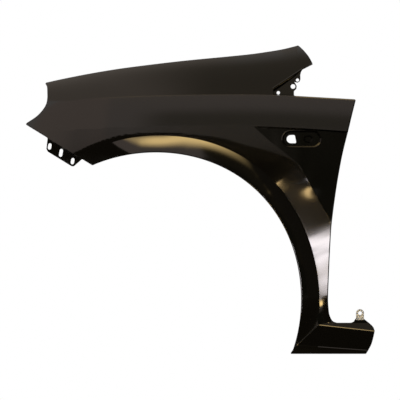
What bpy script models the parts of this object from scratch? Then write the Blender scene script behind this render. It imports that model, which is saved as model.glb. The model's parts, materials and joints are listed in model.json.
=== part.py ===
"""Left front fender of a small car: one pressed sheet of steel and its zinc-plated sill fixing tab.

The outside faces -Y, the front of the car is toward -X and +Z is up. Lengths are in metres.
The sheet is drawn as an outline in the X-Z plane, with X and Z measured from the wheel centre.
Its skin is lifted onto the pressed shape, its edges are rolled inward, and Solidify gives the gauge.
"""

import math

import bmesh
import bpy
import numpy as np
from mathutils import Vector
from mathutils.geometry import delaunay_2d_cdt

# Sheet and mesh
GAUGE = 0.0007
BEND_RADIUS = 0.0025
CORNER_RADIUS = 0.004
GRID = 0.0165
EDGE_STEP = 0.0150
HOLE_STEP = 0.0030
WELD = 0.00001
BEND_STEPS = 2
CORNER_DEPTH_SHARE = 0.22
CORNER_TRIM_SHARE = 0.42
SHARPEST_FOLD = math.radians(115)
CURVE_STEPS = 12

# The whole panel, from the nose to the sill's end and from the sill to the crest
PANEL_LENGTH = 0.8745
PANEL_HEIGHT = 0.7715

# Places on the outline: reach along X and height along Z, from the wheel centre
ARCH_RADIUS = 0.3677
ARCH_FRONT_ANGLE = math.radians(115.2)
ARCH_REAR_ANGLE = math.radians(-20.6)
ARCH_SQUARE_ANGLE = math.radians(47.8)
SILL_REACH = 0.5495
NOSE_REACH = PANEL_LENGTH - SILL_REACH
LAMP_INSET = 0.049
LAMP_REACH = NOSE_REACH - LAMP_INSET
CREST_REACH = 0.3575
TIP_REACH = 0.395
NOTCH_REACH = 0.3475
DOOR_REACH = 0.5025
LEG_WIDTH = 0.065
SILL_END_HEIGHT = -0.0813
SILL_TOP = -0.0605
SILL_DROP = 0.1385
SILL_TOE_REACH = 0.3375
SILL_HEEL_INSET = 0.022
# Heights measured down from the crest, and from the shoulder for what follows it
CREST_HEIGHT = PANEL_HEIGHT - SILL_DROP
TIP_DROP = 0.047
LAMP_DROP = 0.094
NOSE_DROP = 0.197
SHOULDER_DROP = 0.123
DOOR_DROP = 0.012
TIP_HEIGHT = CREST_HEIGHT - TIP_DROP
LAMP_HEIGHT = CREST_HEIGHT - LAMP_DROP
NOSE_HEIGHT = CREST_HEIGHT - NOSE_DROP
SHOULDER_HEIGHT = CREST_HEIGHT - SHOULDER_DROP
DOOR_HEIGHT = SHOULDER_HEIGHT - DOOR_DROP

# Pressed shape
PLAN_START = 0.150
PLAN_RADIUS = 0.950
SHOULDER_PEAK = 0.200
SHOULDER_SAG = 0.013
SHOULDER_FRONT_SPAN = 0.412
SHOULDER_REAR_SPAN = 0.302
SHOULDER_SOFT = 0.0015
NOSE_SOFT = 0.030
SOFT_START = 0.180
CROWN_REACH = 0.075
UPPER_LOW_ANGLE = math.radians(30)
UPPER_TOP_ANGLE = math.radians(57)
CROWN_ANGLE = math.radians(8)
LEAN_ANGLE = math.radians(1.7)
BAND_WIDTH = 0.045
BAND_DEPTH = 0.013
BAND_SLOPE = math.tan(math.radians(27.5))
UNDERCUT_REACH = 0.105
COVE_POWER = 1.25
CREASE_SOFT = 0.0012

# Scallop that runs on into the door
SCALLOP_DEPTH = 0.012
SCALLOP_WALL = 0.004
SCALLOP_START = 0.243
SCALLOP_BELOW_SHOULDER = 0.0788
SCALLOP_FALL = 0.0147
SCALLOP_HEIGHT = SHOULDER_HEIGHT - SCALLOP_BELOW_SHOULDER
SCALLOP_DOOR_HEIGHT = SCALLOP_HEIGHT - SCALLOP_FALL
SCALLOP_FOOT_REACH = 0.435
SCALLOP_FOOT_HEIGHT = 0.201

# Side lamp recess
LAMP_POCKET_LENGTH = 0.0955
LAMP_POCKET_HEIGHT = 0.040
LAMP_POCKET_X = 0.3665
LAMP_BELOW_SCALLOP = 0.0327
LAMP_POCKET_Z = SCALLOP_HEIGHT - LAMP_BELOW_SCALLOP
LAMP_POCKET_DEPTH = 0.006
LAMP_WALL = 0.003
LAMP_HOLE_WIDTH = 0.024
LAMP_HOLE_HEIGHT = 0.0205
LAMP_HOLE_OFFSET = 0.0255
LAMP_WELL_WIDTH = 0.022
LAMP_WELL_HEIGHT = 0.0185
LAMP_WELL_OFFSET = 0.0165
LAMP_WELL_DEPTH = 0.005

# Sill foot
FOOT_REACH = 0.4075
FOOT_HEIGHT = -0.06625
FOOT_BLEND = 0.070
SILL_LEVEL = 0.008
SILL_LINE_FALL = 0.016
SHELF_ANGLE = math.radians(35)
SILL_FACE_ANGLE = math.radians(13)
SILL_LOWER_ANGLE = math.radians(48)
SILL_LOWER_TOE = 0.0205
SILL_LOWER_HEEL = 0.005
WEDGE_RISE_SLOPE = 0.237
TOE_SLOPE = 0.955

# Front bracket tab, under the bumper edge
FRONT_TAB_END_SHARES = (0.3355, 0.8462)
FRONT_TAB_DROP = 0.029
FRONT_TAB_STEP = 0.011
FRONT_TAB_WALL = 0.004
FRONT_TAB_LEAN = math.radians(10)
SLOT_WIDTH = 0.0088
SLOT_LONG = 0.0205
SLOT_SHORT = 0.0165
SLOT_TILT = math.radians(-21.5)

# Pillar bracket, in the notch behind the shoulder
PILLAR_ROOT_REACH = 0.295
PILLAR_ROOT_RISE = 0.01375
PILLAR_ROOT_HEIGHT = SHOULDER_HEIGHT + PILLAR_ROOT_RISE
PILLAR_TOP_REACH = 0.36875
PILLAR_TOP_DROP = 0.0135
PILLAR_TOP_HEIGHT = TIP_HEIGHT - PILLAR_TOP_DROP
PILLAR_STEP = 0.009
PILLAR_WALL = 0.002
PILLAR_HOLE_RADII = (0.0042, 0.0059, 0.0040)

# Edges turned inward, and the ledge that bolts to the hood rail
ARCH_FLANGE = 0.014
DOOR_FLANGE = 0.012
LAMP_FLANGE = 0.012
BUMPER_FLANGE = 0.008
NOTCH_FLANGE = 0.009
REAR_FLANGE = 0.009
SILL_FLANGE = 0.012
HOOD_WALL = 0.015
LEDGE_WIDTH = 0.028
LEDGE_NECK = 0.012
LEDGE_PAD = 0.042
BOLT_RADIUS = 0.0045
CORNER_TAPER = 0.014

# Sill fixing tab of plated steel
FIXING_GAUGE = 0.0012
FIXING_GAP = 0.0003
FIXING_RADIUS = 0.010
FIXING_HOLE_RADIUS = 0.0047
FIXING_WIDTH = 0.0195
FIXING_FOOT = 0.007
FIXING_REACH = 0.5125
FIXING_HEIGHT = -0.0365
TAB_REACHES = (0.4900, 0.4965, 0.5025, 0.5200, 0.5375)
TAB_HEIGHT = -0.04875

# Shapes of the curves: places along a chord and bulges to its outer side, in shares of the chord
HOOD_SHARES = ((0.014, -0.0019), (0.062, -0.0062), (0.12, -0.0074), (0.19, -0.0068), (0.275, -0.003),
               (0.463, 0.0065), (0.651, 0.0116), (0.746, 0.0119), (0.841, 0.0095), (0.936, 0.0047))
REAR_SHARES = ((0.07, 0.013), (0.354, 0.059), (0.677, 0.056), (0.93, 0.02))
LAMP_SHARES = ((0.049, -0.077), (0.164, -0.142), (0.284, -0.198), (0.415, -0.229), (0.571, -0.210),
               (0.746, -0.150), (0.95, -0.028))
DOOR_SHARES = ((0.04, -0.0047), (0.114, -0.0121), (0.208, -0.0212), (0.275, -0.027), (0.365, -0.0335),
               (0.486, -0.0354), (0.607, -0.0339), (0.728, -0.0279), (0.851, -0.015), (0.912, -0.0094))
HEEL_SHARES = ((0.127, -0.136), (0.384, -0.164), (0.613, -0.117), (0.836, -0.055))
SILL_END_SHARES = ((0.125, 0.027), (0.411, 0.063), (0.678, 0.047))
SILL_SLOPE_SHARES = ((0.4, 0.10), (0.7, 0.08))
SCALLOP_TOP_SHARES = ((0.25, -0.004), (0.5, -0.006), (0.75, -0.004))
SCALLOP_LOW_SHARES = ((0.041, -0.009), (0.129, -0.023), (0.217, -0.036), (0.299, -0.055), (0.404, -0.075),
                      (0.516, -0.091), (0.601, -0.074), (0.686, -0.057), (0.782, -0.041), (0.885, -0.020))

# Shares of a size by the angle about the wheel centre, in degrees
BAND_WIDTH_SHARES = ((-25, 1.04), (-10, 1.04), (20, 1.0), (50, 1.05), (70, 1.02), (85, 0.95), (100, 0.9),
                     (118, 0.8), (140, 0.8))
BAND_DEPTH_SHARES = ((-25, 0.3), (0, 0.31), (8, 0.42), (14, 0.57), (20, 0.81), (25, 0.92), (30, 0.89),
                     (36, 0.92), (40, 0.97), (43, 0.98), (46, 0.9), (50, 0.7), (54, 0.5), (60, 0.33),
                     (67, 0.2), (78, 0.08), (90, 0.07), (104, 0.12), (140, 0.15))
UNDERCUT_SHARES = ((-25, 0.21), (0, 0.21), (4, 0.235), (8, 0.285), (14, 0.39), (20, 0.55), (24, 0.63),
                   (27, 0.612), (30, 0.601), (33, 0.608), (36, 0.618), (40, 0.66), (43, 0.69), (46, 0.64),
                   (50, 0.5), (54, 0.4), (60, 0.27), (67, 0.2), (78, 0.09), (90, 0.07), (104, 0.1),
                   (140, 0.12))
BAND_ROOT_SHARES = ((-25, 1.54), (40, 1.54), (47, 1.25), (54, 0.87), (60, 0.77), (67, 0.73), (78, 0.79),
                    (88, 1.0), (95, 0.96), (99, 0.77), (103, 0.29), (107, -0.19), (112, -0.48),
                    (140, -0.48))
BAND_LIP_SHARES = ((-25, 0.17), (45, 0.17), (67, 0.15), (78, 0.25), (88, 0.23), (95, 0.19), (99, 0.0),
                   (103, -0.19), (107, -0.38), (112, -0.48), (140, -0.48))
COVE_SHARES = ((-25, 1.0), (35, 1.0), (60, 0.0), (140, 0.0))
ARCH_SQUARE_SHARE = 0.0073
# How clear of the outline a crease line stops, how far off it is still joined to it, and how clear of
# every line the even points in between stay, in shares of their step
CREASE_CLEAR_SHARE = 0.45
CREASE_REACH_SHARE = 1.3
LATTICE_CLEAR_SHARE = 0.62
# Rear end of the lamp's hole: how far in and how far up, in shares of half its height
LAMP_HOLE_SHARES = ((0.2, -1.0), (0.0, -0.8), (0.15, 0.0), (0.3, 0.8), (0.5, 1.0))
# Rings beside the flare's crease, in shares of the band's width, inner side negative
BAND_RING_SHARES = (-0.7, -0.42, -0.17, 0.3)

# Places of the slots along the front tab and below its fold, in shares of its length and drop
SLOT_SHARES = ((0.153, 0.53), (0.474, 0.495), (0.827, 0.58))
FRONT_TAB_SHARES = ((0.0, 0.0), (0.114, 0.85), (0.18, 1.0), (0.876, 1.0), (0.92, 0.91), (1.0, 0.0))
TAB_OVERRUN_SHARE = 0.02
# Outline of the pillar bracket and its hole centres, in shares of its breadth and height
PILLAR_OUTLINE_SHARES = ((0.712, 0.18), (0.793, 0.267), (0.803, 0.378), (0.753, 0.477), (0.722, 0.53),
                         (0.831, 0.50), (0.908, 0.553), (0.932, 0.637), (0.925, 0.79), (0.949, 0.905))
PILLAR_HOLE_SHARES = ((0.18, 0.118), (0.678, 0.355), (0.83, 0.60))
# Offsets of the joggle's inner line from its outer one, in shares of its wall
JOGGLE_OFFSET_SHARES = ((0.55, -0.83), (1, -0.5), (1, 1), (0, 1))
# Places of the bolt pads along the hood ledge
PAD_FLAT_SHARE = 0.62
PAD_REACH_SHARE = 0.85
PAD_EASE_SHARE = 0.35
LEDGE_END_SHARE = 0.25
MOUNT_SIDE_SHARE = 0.3
BOLT_PLACE_SHARE = 0.55
LEDGE_PAD_SHARES = (0.13, 0.50, 0.84)

PAINT_COLOUR = (0.012, 0.011, 0.010, 1.0)
ZINC_COLOUR = (0.62, 0.64, 0.66, 1.0)


def bow(start, end, shares):
    """Points of a curve from start to end that bulges to the right of its chord by the given shares."""
    start = np.array(start, float)
    chord = np.array(end, float) - start
    side = np.array([chord[1], -chord[0]])
    inner = [start + chord * along + side * out for along, out in shares]
    return smooth(np.array([start, *inner, start + chord]))


def smooth(points):
    """A cubic curve through the points, with points close enough together for resample."""
    ends = np.vstack([2 * points[0] - points[1], points, 2 * points[-1] - points[-2]])
    slopes = (ends[2:] - ends[:-2]) / 2
    out = []
    for start, end, leaving, arriving in zip(points, points[1:], slopes, slopes[1:]):
        for t in np.linspace(0, 1, CURVE_STEPS, endpoint=False):
            ease = smoothstep(t)
            pull = t * (1 - t)
            out.append(start * (1 - ease) + end * ease + leaving * pull * (1 - t) - arriving * pull * t)
    out.append(points[-1])
    return np.array(out)


def run(points):
    """Length along a line of points, from its start to each point."""
    return np.concatenate([[0.0], np.cumsum(np.hypot(*np.diff(points, axis=0).T))])


def resample(points, step):
    """The same line with its points evenly spaced, at most a step apart."""
    points = np.array(points, float)
    along = run(points)
    count = max(1, math.ceil(along[-1] / step))
    places = np.linspace(0, along[-1], count + 1)
    return np.stack([np.interp(places, along, points[:, k]) for k in (0, 1)], axis=1)


def by_angle(shares, angle):
    """Shares looked up by the angle about the wheel centre."""
    table = np.array(shares)
    return np.interp(np.degrees(angle), table[:, 0], table[:, 1])


def arch_radius(angle):
    return ARCH_RADIUS * (1 + ARCH_SQUARE_SHARE * np.cos(4 * (angle - ARCH_SQUARE_ANGLE)))


def crease_radius(angle):
    return arch_radius(angle) + BAND_WIDTH * by_angle(BAND_WIDTH_SHARES, angle)


def around(radius, first, last, count=160):
    """Points at a radius that depends on the angle, about the wheel centre."""
    angle = np.linspace(first, last, count)
    size = radius(angle)
    return np.stack([size * np.cos(angle), size * np.sin(angle)], axis=1)


def smoothstep(value):
    value = np.clip(value, 0, 1)
    return value * value * (3 - 2 * value)


def soft_ramp(value, width):
    """Zero below nought and the value above it, with a rounded change of about the width."""
    return (value + np.sqrt(value**2 + 4 * width**2)) / 2


ARCH = around(arch_radius, ARCH_FRONT_ANGLE, ARCH_REAR_ANGLE)
BUMPER_END = ARCH[0]
NOSE = np.array([-NOSE_REACH, NOSE_HEIGHT])
HOOD = bow((CREST_REACH, CREST_HEIGHT), (-LAMP_REACH, LAMP_HEIGHT), HOOD_SHARES)
DOOR_FOOT = np.array([ARCH_RADIUS + LEG_WIDTH, 0.0])
HEEL = np.array([ARCH_RADIUS + LEG_WIDTH + SILL_HEEL_INSET, SILL_TOP])
SCALLOP_TOP = bow((SCALLOP_START, SCALLOP_HEIGHT), (DOOR_REACH, SCALLOP_DOOR_HEIGHT), SCALLOP_TOP_SHARES)
SCALLOP_LOW = bow((SCALLOP_START, SCALLOP_HEIGHT), (SCALLOP_FOOT_REACH, SCALLOP_FOOT_HEIGHT),
                  SCALLOP_LOW_SHARES)


def shoulder_height(x):
    span = np.where(x > SHOULDER_PEAK, SHOULDER_REAR_SPAN, SHOULDER_FRONT_SPAN)
    return SHOULDER_HEIGHT - SHOULDER_SAG * ((x - SHOULDER_PEAK) / span) ** 2


def hood_height(x):
    return np.interp(x, HOOD[::-1, 0], HOOD[::-1, 1])


def bumper_height(x):
    """Height of the straight bumper edge."""
    slope = (BUMPER_END[1] - NOSE[1]) / (BUMPER_END[0] - NOSE[0])
    return NOSE[1] + slope * (x - NOSE[0])


def side_level(x, z):
    """How far out the main panel stands, before the arch, scallop and sill are pressed into it."""
    ahead = np.clip(PLAN_START - x, 0, PLAN_RADIUS * math.sin(math.radians(80)))
    level = np.sqrt(PLAN_RADIUS**2 - ahead**2) - PLAN_RADIUS
    above = z - shoulder_height(x)
    below = np.clip(-above, 0, CROWN_REACH)
    level = level - math.tan(CROWN_ANGLE) * (above + below**2 / (2 * CROWN_REACH))
    level = level + (math.tan(CROWN_ANGLE) + math.tan(LEAN_ANGLE)) * np.minimum(above + CROWN_REACH, 0)
    fade = np.clip((-x - SOFT_START) / (NOSE_REACH - SOFT_START), 0, 1)
    softness = SHOULDER_SOFT + (NOSE_SOFT - SHOULDER_SOFT) * fade
    low = math.tan(UPPER_LOW_ANGLE) - math.tan(CROWN_ANGLE)
    level = level - low * soft_ramp(above, softness)
    rise = np.maximum(hood_height(x) - shoulder_height(x), BEND_RADIUS)
    steepening = math.tan(UPPER_TOP_ANGLE) - math.tan(UPPER_LOW_ANGLE)
    return level - steepening * np.maximum(above, 0) ** 3 / (3 * rise**2)


def arch_level(x, z):
    """The undercut above the arch and the flared band beside it, added to the side level.

    The band is steepest at its crease and flattest at its lip, at slopes that follow the angle.
    """
    angle = np.arctan2(z, x)
    beyond = np.hypot(x, z) - crease_radius(angle)
    depth = BAND_DEPTH * by_angle(BAND_DEPTH_SHARES, angle)
    reach = UNDERCUT_REACH * by_angle(UNDERCUT_SHARES, angle)
    cove = by_angle(COVE_SHARES, angle)
    out = np.clip(beyond / reach, 0, 1)
    undercut = -depth * ((1 - cove) * (1 - out) ** 2 + cove * (1 - out**COVE_POWER))
    width = BAND_WIDTH * by_angle(BAND_WIDTH_SHARES, angle)
    inward = np.clip(-beyond / width, 0, 1)
    root = BAND_SLOPE * by_angle(BAND_ROOT_SHARES, angle)
    lip = BAND_SLOPE * by_angle(BAND_LIP_SHARES, angle)
    return undercut + width * (root * inward + (lip - root) * inward**2 / 2)


def scallop_level(x, z):
    """The scallop: a step under its top line that runs out at the apex and along its lower edge."""
    top = np.interp(x, SCALLOP_TOP[:, 0], SCALLOP_TOP[:, 1])
    last = SCALLOP_LOW[-1] - SCALLOP_LOW[-2 * CURVE_STEPS]
    foot_slope = last[1] / last[0]
    low = np.interp(x, SCALLOP_LOW[:, 0], SCALLOP_LOW[:, 1])
    low = low + foot_slope * np.maximum(x - SCALLOP_LOW[-1, 0], 0)
    depth = SCALLOP_DEPTH * np.clip((x - SCALLOP_START) / (DOOR_REACH - SCALLOP_START), 0, 1)
    height = np.maximum(top - low, SCALLOP_WALL)
    down = top - z
    floor = 1 - np.clip(down / height, 0, 1)
    return -depth * smoothstep(down / SCALLOP_WALL) * floor


def pocket_distance(x, z, length, height, centre_x):
    """Distance inside a round-ended slot about the lamp's place, negative outside it."""
    half = (length - height) / 2
    along = np.abs(x - centre_x) - half
    return height / 2 - np.hypot(np.maximum(along, 0), z - LAMP_POCKET_Z)


def lamp_level(x, z):
    """The recess for the side lamp, with a deeper blind well at its rear."""
    inside = pocket_distance(x, z, LAMP_POCKET_LENGTH, LAMP_POCKET_HEIGHT, LAMP_POCKET_X)
    level = -LAMP_POCKET_DEPTH * smoothstep(inside / LAMP_WALL)
    well = pocket_distance(x, z, LAMP_WELL_WIDTH, LAMP_WELL_HEIGHT, LAMP_POCKET_X + LAMP_WELL_OFFSET)
    return level - LAMP_WELL_DEPTH * smoothstep(well / LAMP_WALL)


def wedge_height(x):
    """The line at which the leg of the panel meets the sill foot."""
    rear = FOOT_HEIGHT + WEDGE_RISE_SLOPE * (x - FOOT_REACH)
    front = FOOT_HEIGHT - TOE_SLOPE * (FOOT_REACH - x)
    return np.where(x > FOOT_REACH, rear, front)


def sill_line_height(x):
    """The outermost line of the sill foot."""
    fall = SILL_LINE_FALL * (x - FOOT_REACH) / (SILL_REACH - FOOT_REACH)
    return np.where(x > FOOT_REACH, FOOT_HEIGHT - fall, wedge_height(x))


def sill_lower_height(x):
    share = (x - SILL_TOE_REACH) / (SILL_REACH - SILL_TOE_REACH)
    return -SILL_DROP + SILL_LOWER_TOE + (SILL_LOWER_HEEL - SILL_LOWER_TOE) * share


def sill_level(x, z):
    line = sill_line_height(x)
    shelf = np.clip(z, None, SILL_TOP) - line
    level = -SILL_LEVEL - math.tan(SHELF_ANGLE) * soft_ramp(shelf, CREASE_SOFT)
    level = level - math.tan(SILL_FACE_ANGLE) * np.maximum(line - z, 0)
    return level - math.tan(SILL_LOWER_ANGLE) * soft_ramp(sill_lower_height(x) - z, CREASE_SOFT)


def skin_level(x, z):
    """How far out the skin stands, brackets left out."""
    level = side_level(x, z) + arch_level(x, z) + scallop_level(x, z) + lamp_level(x, z)
    above = z - wedge_height(x)
    share = smoothstep(1 - above / FOOT_BLEND)
    joint = sill_level(x, np.minimum(z, wedge_height(x)))
    return level * (1 - share) + joint * share


def below_bumper(x, z):
    """Distance below the bumper edge, square to it."""
    along = BUMPER_END - NOSE
    return (along[1] * (x - NOSE[0]) - along[0] * (z - NOSE[1])) / np.hypot(*along)


def front_tab_level(x, z):
    """The flat front tab: set inboard of two places on the bumper edge, and leaning in below them."""
    ends = NOSE[0] + (BUMPER_END[0] - NOSE[0]) * np.array(FRONT_TAB_END_SHARES)
    levels = skin_level(ends, bumper_height(ends))
    slope = (levels[1] - levels[0]) / (ends[1] - ends[0])
    lean = math.tan(FRONT_TAB_LEAN) * below_bumper(x, z)
    return levels[0] + slope * (x - ends[0]) - FRONT_TAB_STEP - lean


PILLAR_ROOT = np.array([PILLAR_ROOT_REACH, PILLAR_ROOT_HEIGHT])
PILLAR_TOP = np.array([PILLAR_TOP_REACH, PILLAR_TOP_HEIGHT])
NOTCH = np.array([NOTCH_REACH, float(shoulder_height(np.array(NOTCH_REACH)))])


def pillar_distance(x, z):
    """Distance into the pillar bracket from its joggle and from the shoulder."""
    along = PILLAR_TOP - PILLAR_ROOT
    from_joggle = (along[1] * (x - PILLAR_ROOT[0]) - along[0] * (z - PILLAR_ROOT[1])) / np.hypot(*along)
    return np.minimum(np.minimum(from_joggle, x - PILLAR_ROOT[0]), z - shoulder_height(x))


def level(x, z):
    """How far out the whole sheet stands at a place in the X-Z plane."""
    x = np.asarray(x, float)
    z = np.asarray(z, float)
    out = skin_level(x, z)
    into_tab = smoothstep(below_bumper(x, z) / FRONT_TAB_WALL) * (x < BUMPER_END[0])
    out = out * (1 - into_tab) + front_tab_level(x, z) * into_tab
    web = -PILLAR_STEP - math.tan(UPPER_LOW_ANGLE) * (z - NOTCH[1])
    into_web = smoothstep(pillar_distance(x, z) / PILLAR_WALL)
    return out * (1 - into_web) + web * into_web


def below_edge_way():
    """The direction square to the bumper edge, toward the wheel."""
    along = (BUMPER_END - NOSE) / np.hypot(*(BUMPER_END - NOSE))
    return np.array([along[1], -along[0]])


def front_tab_place(along_share, down_share):
    start, end = FRONT_TAB_END_SHARES
    on_edge = NOSE + (BUMPER_END - NOSE) * (start + (end - start) * along_share)
    return on_edge + below_edge_way() * FRONT_TAB_DROP * down_share


def pillar_place(across_share, up_share):
    breadth = PILLAR_TOP[0] - PILLAR_ROOT[0]
    height = PILLAR_TOP[1] - NOTCH[1]
    return np.array([PILLAR_ROOT[0] + breadth * across_share, NOTCH[1] + height * up_share])


def edges():
    """The outline as edges in order, anticlockwise as the camera sees it, with their flange depths."""
    toe = ARCH[-1]
    sill_front = np.array([SILL_TOE_REACH, -SILL_DROP])
    sill_rear = np.array([SILL_REACH - SILL_HEEL_INSET, -SILL_DROP])
    sill_corner = np.array([SILL_REACH, SILL_END_HEIGHT])
    tab = [np.array([TAB_REACHES[4], SILL_TOP - BEND_RADIUS]), np.array([TAB_REACHES[3], TAB_HEIGHT]),
           np.array([TAB_REACHES[2], TAB_HEIGHT]), np.array([TAB_REACHES[1], SILL_TOP + BEND_RADIUS]),
           np.array([TAB_REACHES[0], SILL_TOP])]
    door_corner = (DOOR_REACH, DOOR_HEIGHT)
    tip = np.array([TIP_REACH, TIP_HEIGHT])
    front_tab = [front_tab_place(*share) for share in FRONT_TAB_SHARES]
    pillar = [pillar_place(*share) for share in PILLAR_OUTLINE_SHARES]
    return [
        ([sill_front, sill_rear], SILL_FLANGE),
        (bow(sill_rear, sill_corner, SILL_END_SHARES), 0),
        (bow(sill_corner, tab[0], SILL_SLOPE_SHARES), 0),
        (tab, 0),
        ([tab[-1], HEEL], BUMPER_FLANGE),
        (bow(HEEL, DOOR_FOOT, HEEL_SHARES), BUMPER_FLANGE),
        (bow(DOOR_FOOT, door_corner, DOOR_SHARES), DOOR_FLANGE),
        ([door_corner, NOTCH], NOTCH_FLANGE),
        ([NOTCH, *pillar, PILLAR_TOP], 0),
        ([PILLAR_TOP, tip], 0),
        (bow(tip, (CREST_REACH, CREST_HEIGHT), REAR_SHARES), REAR_FLANGE),
        (HOOD, HOOD_WALL),
        (bow((-LAMP_REACH, LAMP_HEIGHT), NOSE, LAMP_SHARES), LAMP_FLANGE),
        ([NOSE, front_tab[0]], BUMPER_FLANGE),
        (front_tab, 0),
        ([front_tab[-1], BUMPER_END], BUMPER_FLANGE),
        (ARCH, ARCH_FLANGE),
        ([toe, sill_front], 0),
    ]


def corner_arc(before, corner, after):
    """How much of each side a rounded corner takes, its points, and the share of flange that goes round."""
    into = corner - before[-2]
    away = after[1] - corner
    into = into / np.hypot(*into)
    away = away / np.hypot(*away)
    turn = abs(math.atan2(into[0] * away[1] - into[1] * away[0], float(into @ away)))
    if turn < math.radians(12):
        return 0.0, [corner], 1
    trim = CORNER_RADIUS * math.tan(min(turn, math.radians(130)) / 2)
    trim = min(trim, CORNER_TRIM_SHARE * run(before)[-1], CORNER_TRIM_SHARE * run(after)[-1])
    start = corner - into * trim
    end = corner + away * trim
    steps = np.linspace(0, 1, 2 + math.ceil(turn / math.radians(35)))
    arc = [start * (1 - t) ** 2 + corner * 2 * t * (1 - t) + end * t**2 for t in steps]
    return trim, arc, CORNER_DEPTH_SHARE if turn < SHARPEST_FOLD else 0


def shorten(points, at_start, at_end):
    """A line of points with a length taken off each end."""
    along = run(points)
    places = [at_start, *(s for s in along if at_start < s < along[-1] - at_end), along[-1] - at_end]
    return np.stack([np.interp(places, along, points[:, k]) for k in (0, 1)], axis=1)


def outline():
    """The whole outline as points, with each point's flange depth and how far its edge is rolled over."""
    pieces = []
    for points, flange in edges():
        if isinstance(points, np.ndarray):
            pieces.append((points, flange))
            continue
        for a, b in zip(points, points[1:]):
            pieces.append((np.array([a, b], float), flange))
    corners = [corner_arc(pieces[k - 1][0], pieces[k][0][0], pieces[k][0]) for k in range(len(pieces))]
    places = []
    knots = []
    length = 0.0
    for k, (points, flange) in enumerate(pieces):
        trim, arc, depth_share = corners[k]
        side = resample(shorten(points, trim, corners[(k + 1) % len(pieces)][0]), EDGE_STEP)
        before = pieces[k - 1][1]
        arc_length = run(np.array(arc))[-1]
        side_length = run(side)[-1]
        taper = min(CORNER_TAPER, side_length / 2)
        corner_depth = min(before, flange) * depth_share
        folded = int(flange == HOOD_WALL)
        knots.append((length + arc_length / 2, corner_depth, 0))
        knots.append((length + arc_length + taper, flange, folded))
        knots.append((length + arc_length + side_length - taper, flange, folded))
        places += arc[:-1]
        places += list(side[:-1])
        length += arc_length + side_length
    places = np.array(places)
    along = run(places)
    at, depths, folds = np.array(sorted(knots)).T
    return places, np.interp(along, at, depths, period=length), np.interp(along, at, folds, period=length)


def outward(points):
    """The outer side's direction at each point of a closed anticlockwise outline."""
    after = np.roll(points, -1, axis=0) - points
    after = after / np.hypot(*after.T)[:, None]
    both = after + np.roll(after, 1, axis=0)
    both = both / np.hypot(*both.T)[:, None]
    return np.stack([both[:, 1], -both[:, 0]], axis=1)


def rolled_edge():
    """Rows of points from the skin's edge round the bend to the end of the flange, with their X, Y and Z."""
    places, depth, fold = outline()
    depth = np.where(depth < GAUGE, 0, depth)
    side = outward(places)
    radius = BEND_RADIUS * np.clip(depth / (CORNER_DEPTH_SHARE * BUMPER_FLANGE), 0, 1)
    near = places - side * BEND_RADIUS / 2
    far = near - side * BEND_RADIUS / 2
    fall = np.arctan2(level(*far.T) - level(*near.T), BEND_RADIUS / 2)
    fall = np.clip(fall, 0, math.radians(75))
    skin_edge = places - side * (radius * (1 - np.sin(fall)))[:, None]
    base = level(*skin_edge.T)
    end = math.pi / 2 * (1 + fold)
    rows = [np.stack([skin_edge[:, 0], -base, skin_edge[:, 1]], axis=1)]
    for k in range(1, BEND_STEPS + 1):
        turn = fall + (end - fall) * k / BEND_STEPS
        out = radius * (np.sin(turn) - np.sin(fall))
        back = radius * (np.cos(fall) - np.cos(turn))
        place = skin_edge + side * out[:, None]
        rows.append(np.stack([place[:, 0], -base + back, place[:, 1]], axis=1))
    reach = np.maximum(depth - radius, 0)
    place = rows[-1][:, [0, 2]] + side * (reach * np.cos(end))[:, None]
    rows.append(np.stack([place[:, 0], rows[-1][:, 1] + reach * np.sin(end), place[:, 1]], axis=1))
    return rows, depth, fold


def inside(loop, points):
    """Which points lie inside a closed loop."""
    x, z = points[:, 0][:, None], points[:, 1][:, None]
    x0, z0 = loop.T
    x1, z1 = np.roll(loop, -1, axis=0).T
    across = (z0 > z) != (z1 > z)
    with np.errstate(divide="ignore", invalid="ignore"):
        cut = x0 + (z - z0) * (x1 - x0) / (z1 - z0)
    return (across & (x < cut)).sum(axis=1) % 2 == 1


def nearest(points, others):
    """Distance from each point to the nearest of the others."""
    out = np.full(len(points), np.inf)
    for start in range(0, len(others), 400):
        gap = points[:, None, :] - others[None, start:start + 400, :]
        out = np.minimum(out, np.sqrt((gap**2).sum(axis=2)).min(axis=1))
    return out


def fit_line(line, loop, step):
    """The part of a crease line inside the loop, ended on the loop's own points."""
    line = resample(line, step)
    fence = resample(np.vstack([loop, loop[:1]]), step / 3)
    clear = nearest(line, fence) > step * CREASE_CLEAR_SHARE
    keep = inside(loop, line) & clear
    kept = line[keep]
    if len(kept) < 2:
        return kept
    out = list(kept)
    for end, place in ((0, 0), (-1, len(out))):
        gap = np.hypot(*(loop - kept[end]).T)
        if gap.min() < step * CREASE_REACH_SHARE:
            out.insert(place if end == 0 else len(out), loop[int(gap.argmin())])
    return np.array(out)


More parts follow.
